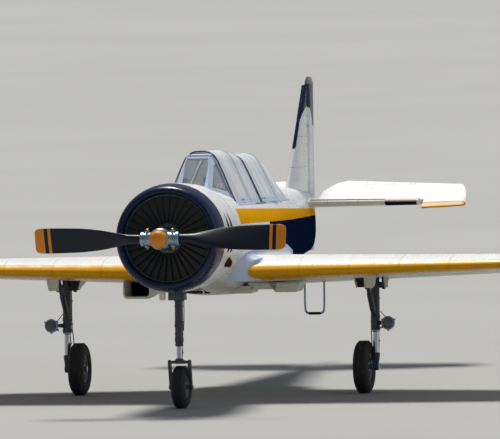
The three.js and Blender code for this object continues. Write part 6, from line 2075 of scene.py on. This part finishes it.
class TRAINER_OT_fittings(bpy.types.Operator):
    """Adds the oil cooler's scoop, the boarding step, the aerial, the tip lamps and the air speed probe"""

    bl_idname = "trainer.fittings"
    bl_label = "Fittings"

    def execute(self, context):
        c = context.scene.trainer_colours
        cream = shared("wing_underside")
        plain = enamel("scoop_enamel", c.cream, "wing", (9, 9), 0.36, 0.9, rivets=False)
        white = shared("frame_enamel")
        steel = shared("plated_steel")
        rubber = shared("seal_rubber")
        # Brazed copper tubes, darkened to near black as painted shade inside the intake.
        copper = metal("cooler_copper", linear("#2e211b"), 0.6, soiled=0.8)
        wing = wing_room(330, 1100, 10, 60, MIRROR)
        low = wing_point(670, 0.2, 0).z
        body = Kit("body").add(fuselage_skin(1500, 3400, TOUCH))

        def mouth(y, x0, x1, top, foot, round_by):
            corner = []
            for cx, cz, first in ((x1 - round_by, foot + round_by, 270), (x1 - round_by, top, 0),
                                  (x0 + round_by, top, 180), (x0 + round_by, foot + round_by, 180)):
                if cz == top:
                    corner.append((x1 if first == 0 else x0, y, top))
                else:
                    start = math.radians(first)
                    corner += [(cx + round_by * math.cos(start + math.pi / 2 * k / 6), y,
                                cz + round_by * math.sin(start + math.pi / 2 * k / 6)) for k in range(7)]
            return corner
        scoop = Kit("oil_cooler_intake", plain, rubber, copper)
        rows = [(1990, -766, -499, -147), (2003, -770, -495, -154), (2060, -770, -495, -155),
                (2300, -758, -507, -142), (2560, -745, -520, -125), (2700, -752, -512, -46),
                (2754, -754, -511, -4)]
        skin = [mouth(y, x0, x1, low + 60, low + z, 40) for y, x0, x1, z in rows]
        inner = [mouth(y, x0 + 13, x1 - 13, low + 60, low + z + 13, 30) for y, x0, x1, z in rows[:4]]
        scoop.add(shell(skin, ends=False))
        scoop.add(shell(list(reversed(inner)), ends=False))
        scoop.add(shell([inner[0], skin[0]], ends=False))
        scoop.add(([p for p in skin[-1]], [tuple(range(len(skin[-1])))]))
        scoop.add(([p for p in inner[-1]], [tuple(range(len(inner[-1])))]), 1)
        for x in range(-736, -526, 12):
            scoop.add(slab((x - 1.2, x + 1.2), (2250, 2292), (low - 126, low + 40), 0), 2)
        for z in range(-122, 12, 13):
            scoop.add(slab((-742, -522), (2244, 2290), (low + z - 1, low + z + 1), 0), 2)
        scoop.done("airframe", "oil_cooler_scoop", cuts=[wing, body], sharp=36)
        step = Kit("boarding_step_loop", steel, rubber)
        y, x0, x1, foot = 3280, 735, 925, -775
        path = [(x0, y, -400), (x0, y, -520), (x0, y, -640), (x0 + 3, y, foot + 50), (x0 + 11, y, foot + 17),
                (x0 + 38, y, foot), ((x0 + x1) / 2, y, foot), (x1 - 38, y, foot), (x1 - 11, y, foot + 17),
                (x1 - 3, y, foot + 50), (x1, y, -640), (x1, y, -520), (x1, y, -400)]
        step.add(pipe(smooth_path(path, 5), 10, 16))
        rows = []
        for k in range(25):
            rows += [(k * 4.6, 13.4), (k * 4.6 + 2.4, 13.4), (k * 4.6 + 3.2, 12.2)]
        step.add(spun((x0 + 38, y, foot), (x1 - 38, y, foot), [(-1, 10), *rows, (115, 10)], 20), 1)
        for x in (x0, x1):
            step.add(spun((x, y, -470), (x, y, -440), [(0, 11), (2, 18), (30, 26)], 24))
        step.done("airframe", "boarding_step", cuts=[wing_room(500, 1200, 10, 60)], sharp=40)
        aerial = Kit("whip_aerial", white, rubber)
        base, head = Vector((0, 5012, 475)), Vector((0, 5395, 905))
        aerial.add(spun((0, 5000, 430), base, [(0, 20), (24, 19), (38, 15), (47, 12)], 28), 1)
        way = head - Vector((0, 5000, 452))
        aerial.add(spun((0, 5000, 452), head, [(20, 9), (44, 7), (60, 5.5), (way.length * 0.5, 4.4),
                                               (way.length - 2, 3.2), (way.length, 2)], 14))
        aerial.done("airframe", "whip_antenna", cuts=[Kit("body").add(fuselage_skin(4800, 5300, TOUCH))])
        for name, side, tint in (("left", 1, "#b01f1a"), ("right", -1, "#1f7a46")):
            lens = lamp_glass(f"position_lamp_{name}_glass", linear(tint))
            lamp = Kit(f"position_lamp_{name}", lens, steel)
            nose, _, thick, _ = wing_at(4560)
            at = Vector((side * 4562, nose + 110, wing_point(4560, 0.12, 0).z + thick * 0.42))
            lamp.add(spun(at + Vector((0, -70, 0)), at + Vector((0, 1, 0)),
                          [(0, 3), (6, 12), (20, 18), (44, 20), (64, 16)], 28))
            lamp.add(spun(at + Vector((0, -6, 0)), at + Vector((0, 1, 0)),
                          [(0, 19), (3, 20), (10, 20), (40, 12), (70, 3)], 28), 1)
            lamp.done("airframe")
        probe = Kit("air_speed_probe", steel, white)
        at = wing_point(3650, 0, 0) + Vector((0, 4, 22))
        at.x = -at.x
        probe.add(spun(at + Vector((0, 40, 0)), at + Vector((0, -1, 0)),
                       [(0, 16), (46, 14), (60, 9), (230, 8), (240, 6), (300, 5.5), (302, 3)], 20))
        probe.done("airframe")
        plates = Kit("belly_plates", cream, steel)
        for row in (((50, -500), (415, -500), (72, -561), (398, -561)),
                    ((390, -470), (640, -470), (395, -524), (640, -524)),
                    ((567, -470), (868, -470), (630, -552), (832, -552))):
            plates.add(hull(*[(x, y, z + (12 if y > 2400 else 0)) for x, z in row for y
                              in (2394, 2402, 2700)]))
        plates.done("airframe")
        return {"FINISHED"}


# Stage

# The photograph's view: a long lens far off, ahead of the left wing and a little above it
CAMERA_AT = (24.5352, -116.0436, 8.2376)
AZIMUTH, ELEVATION, ROLL = math.radians(11.9), math.radians(3.2), math.radians(1.3)
FOCAL_LENGTH = 885.96
FLOOR_TONES = (0.33, 0.33, 0.32, 1), (0.38, 0.38, 0.37, 1)
# Each lamp's name, strength, width in degrees, colour and the way that its light goes
LAMPS = (("overhead_key", 4.0, 14, (1.0, 0.97, 0.92), (0.12, -0.4, -1)),
         ("side_fill", 0.35, 60, (0.9, 0.95, 1.0), (-1, -0.05, -0.35)))
SKY, SKY_STRENGTH = (0.72, 0.8, 0.92, 1), 0.26


class TRAINER_OT_stage(bpy.types.Operator):
    """Lays the pale floor, hangs the soft lamps and stands the camera at the photograph's angle"""

    bl_idname = "trainer.stage"
    bl_label = "Stage, lamps and camera"

    def execute(self, context):
        scene = context.scene
        scene.view_settings.view_transform = "Standard"
        floor_mesh = bpy.data.meshes.new("studio_floor")
        bm = bmesh.new()
        bmesh.ops.create_grid(bm, x_segments=1, y_segments=1, size=400)
        bm.to_mesh(floor_mesh)
        bm.free()
        # Screeded concrete under a flat pale wash: matt, with slow changes of tone.
        wash, tree, shader, at = new_finish("floor_wash", Roughness=0.9)
        slow = node(tree, "TexNoise", {"Vector": at, "Scale": 0.25, "Detail": 5}).outputs["Fac"]
        dark, pale = FLOOR_TONES
        tone = node(tree, "Mix", {"Factor": slow, "A": dark, "B": pale}, data_type="RGBA")
        tree.links.new(tone.outputs["Result"], shader.inputs["Base Color"])
        floor_mesh.materials.append(wash)
        floor = bpy.data.objects.new("studio_floor", floor_mesh)
        scene.collection.objects.link(floor)
        camera = bpy.data.cameras.new("telephoto")
        camera.lens = FOCAL_LENGTH
        camera.sensor_width = 36
        camera.clip_end = 2000
        stand = bpy.data.objects.new("telephoto", camera)
        back = Vector((math.sin(AZIMUTH) * math.cos(ELEVATION),
                       -math.cos(AZIMUTH) * math.cos(ELEVATION), math.sin(ELEVATION)))
        turn = (-back).to_track_quat("-Z", "Y").to_matrix().to_4x4()
        stand.matrix_world = Matrix.Translation(CAMERA_AT) @ turn @ Matrix.Rotation(-ROLL, 4, "Z")
        scene.collection.objects.link(stand)
        scene.camera = stand
        for name, strength, width, colour, way in LAMPS:
            light = bpy.data.lights.new(name, "SUN")
            light.energy, light.angle, light.color = strength, math.radians(width), colour
            lamp = bpy.data.objects.new(name, light)
            lamp.rotation_euler = Vector(way).to_track_quat("-Z", "Y").to_euler()
            scene.collection.objects.link(lamp)
        world = bpy.data.worlds.new("studio")
        world.use_nodes = True
        sky = world.node_tree.nodes["Background"].inputs
        sky["Color"].default_value, sky["Strength"].default_value = SKY, SKY_STRENGTH
        scene.world = world
        return {"FINISHED"}


class TRAINER_PT_sidebar(bpy.types.Panel):
    """Lists the builders and their settings"""

    bl_idname = "TRAINER_PT_sidebar"
    bl_label = "Radial trainer"
    bl_space_type = "VIEW_3D"
    bl_region_type = "UI"
    bl_category = "Trainer"

    def draw(self, context):
        for operator in OPERATORS:
            self.layout.operator(operator.bl_idname)
        for group in (context.scene.trainer_colours, context.scene.trainer_sizes):
            for key in group.bl_rna.properties.keys():
                if key not in ("rna_type", "name"):
                    self.layout.prop(group, key)


OPERATORS = (TRAINER_OT_stage, TRAINER_OT_propeller, TRAINER_OT_cowl, TRAINER_OT_fuselage,
             TRAINER_OT_wings, TRAINER_OT_tail, TRAINER_OT_canopy, TRAINER_OT_cockpits,
             TRAINER_OT_main_gear, TRAINER_OT_nose_gear, TRAINER_OT_fittings)


def register():
    for cls in (TrainerColours, TrainerSizes, *OPERATORS, TRAINER_PT_sidebar):
        bpy.utils.register_class(cls)
    bpy.types.Scene.trainer_colours = bpy.props.PointerProperty(type=TrainerColours)
    bpy.types.Scene.trainer_sizes = bpy.props.PointerProperty(type=TrainerSizes)


def unregister():
    del bpy.types.Scene.trainer_sizes
    del bpy.types.Scene.trainer_colours
    for cls in reversed((TrainerColours, TrainerSizes, *OPERATORS, TRAINER_PT_sidebar)):
        bpy.utils.unregister_class(cls)


def main():
    register()
    bpy.ops.trainer.stage()
    bpy.ops.trainer.propeller()
    bpy.ops.trainer.cowl()
    bpy.ops.trainer.fuselage()
    bpy.ops.trainer.wings()
    bpy.ops.trainer.tail()
    bpy.ops.trainer.canopy()
    bpy.ops.trainer.cockpits()
    bpy.ops.trainer.main_gear()
    bpy.ops.trainer.nose_gear()
    bpy.ops.trainer.fittings()


if __name__ == "__main__":
    main()
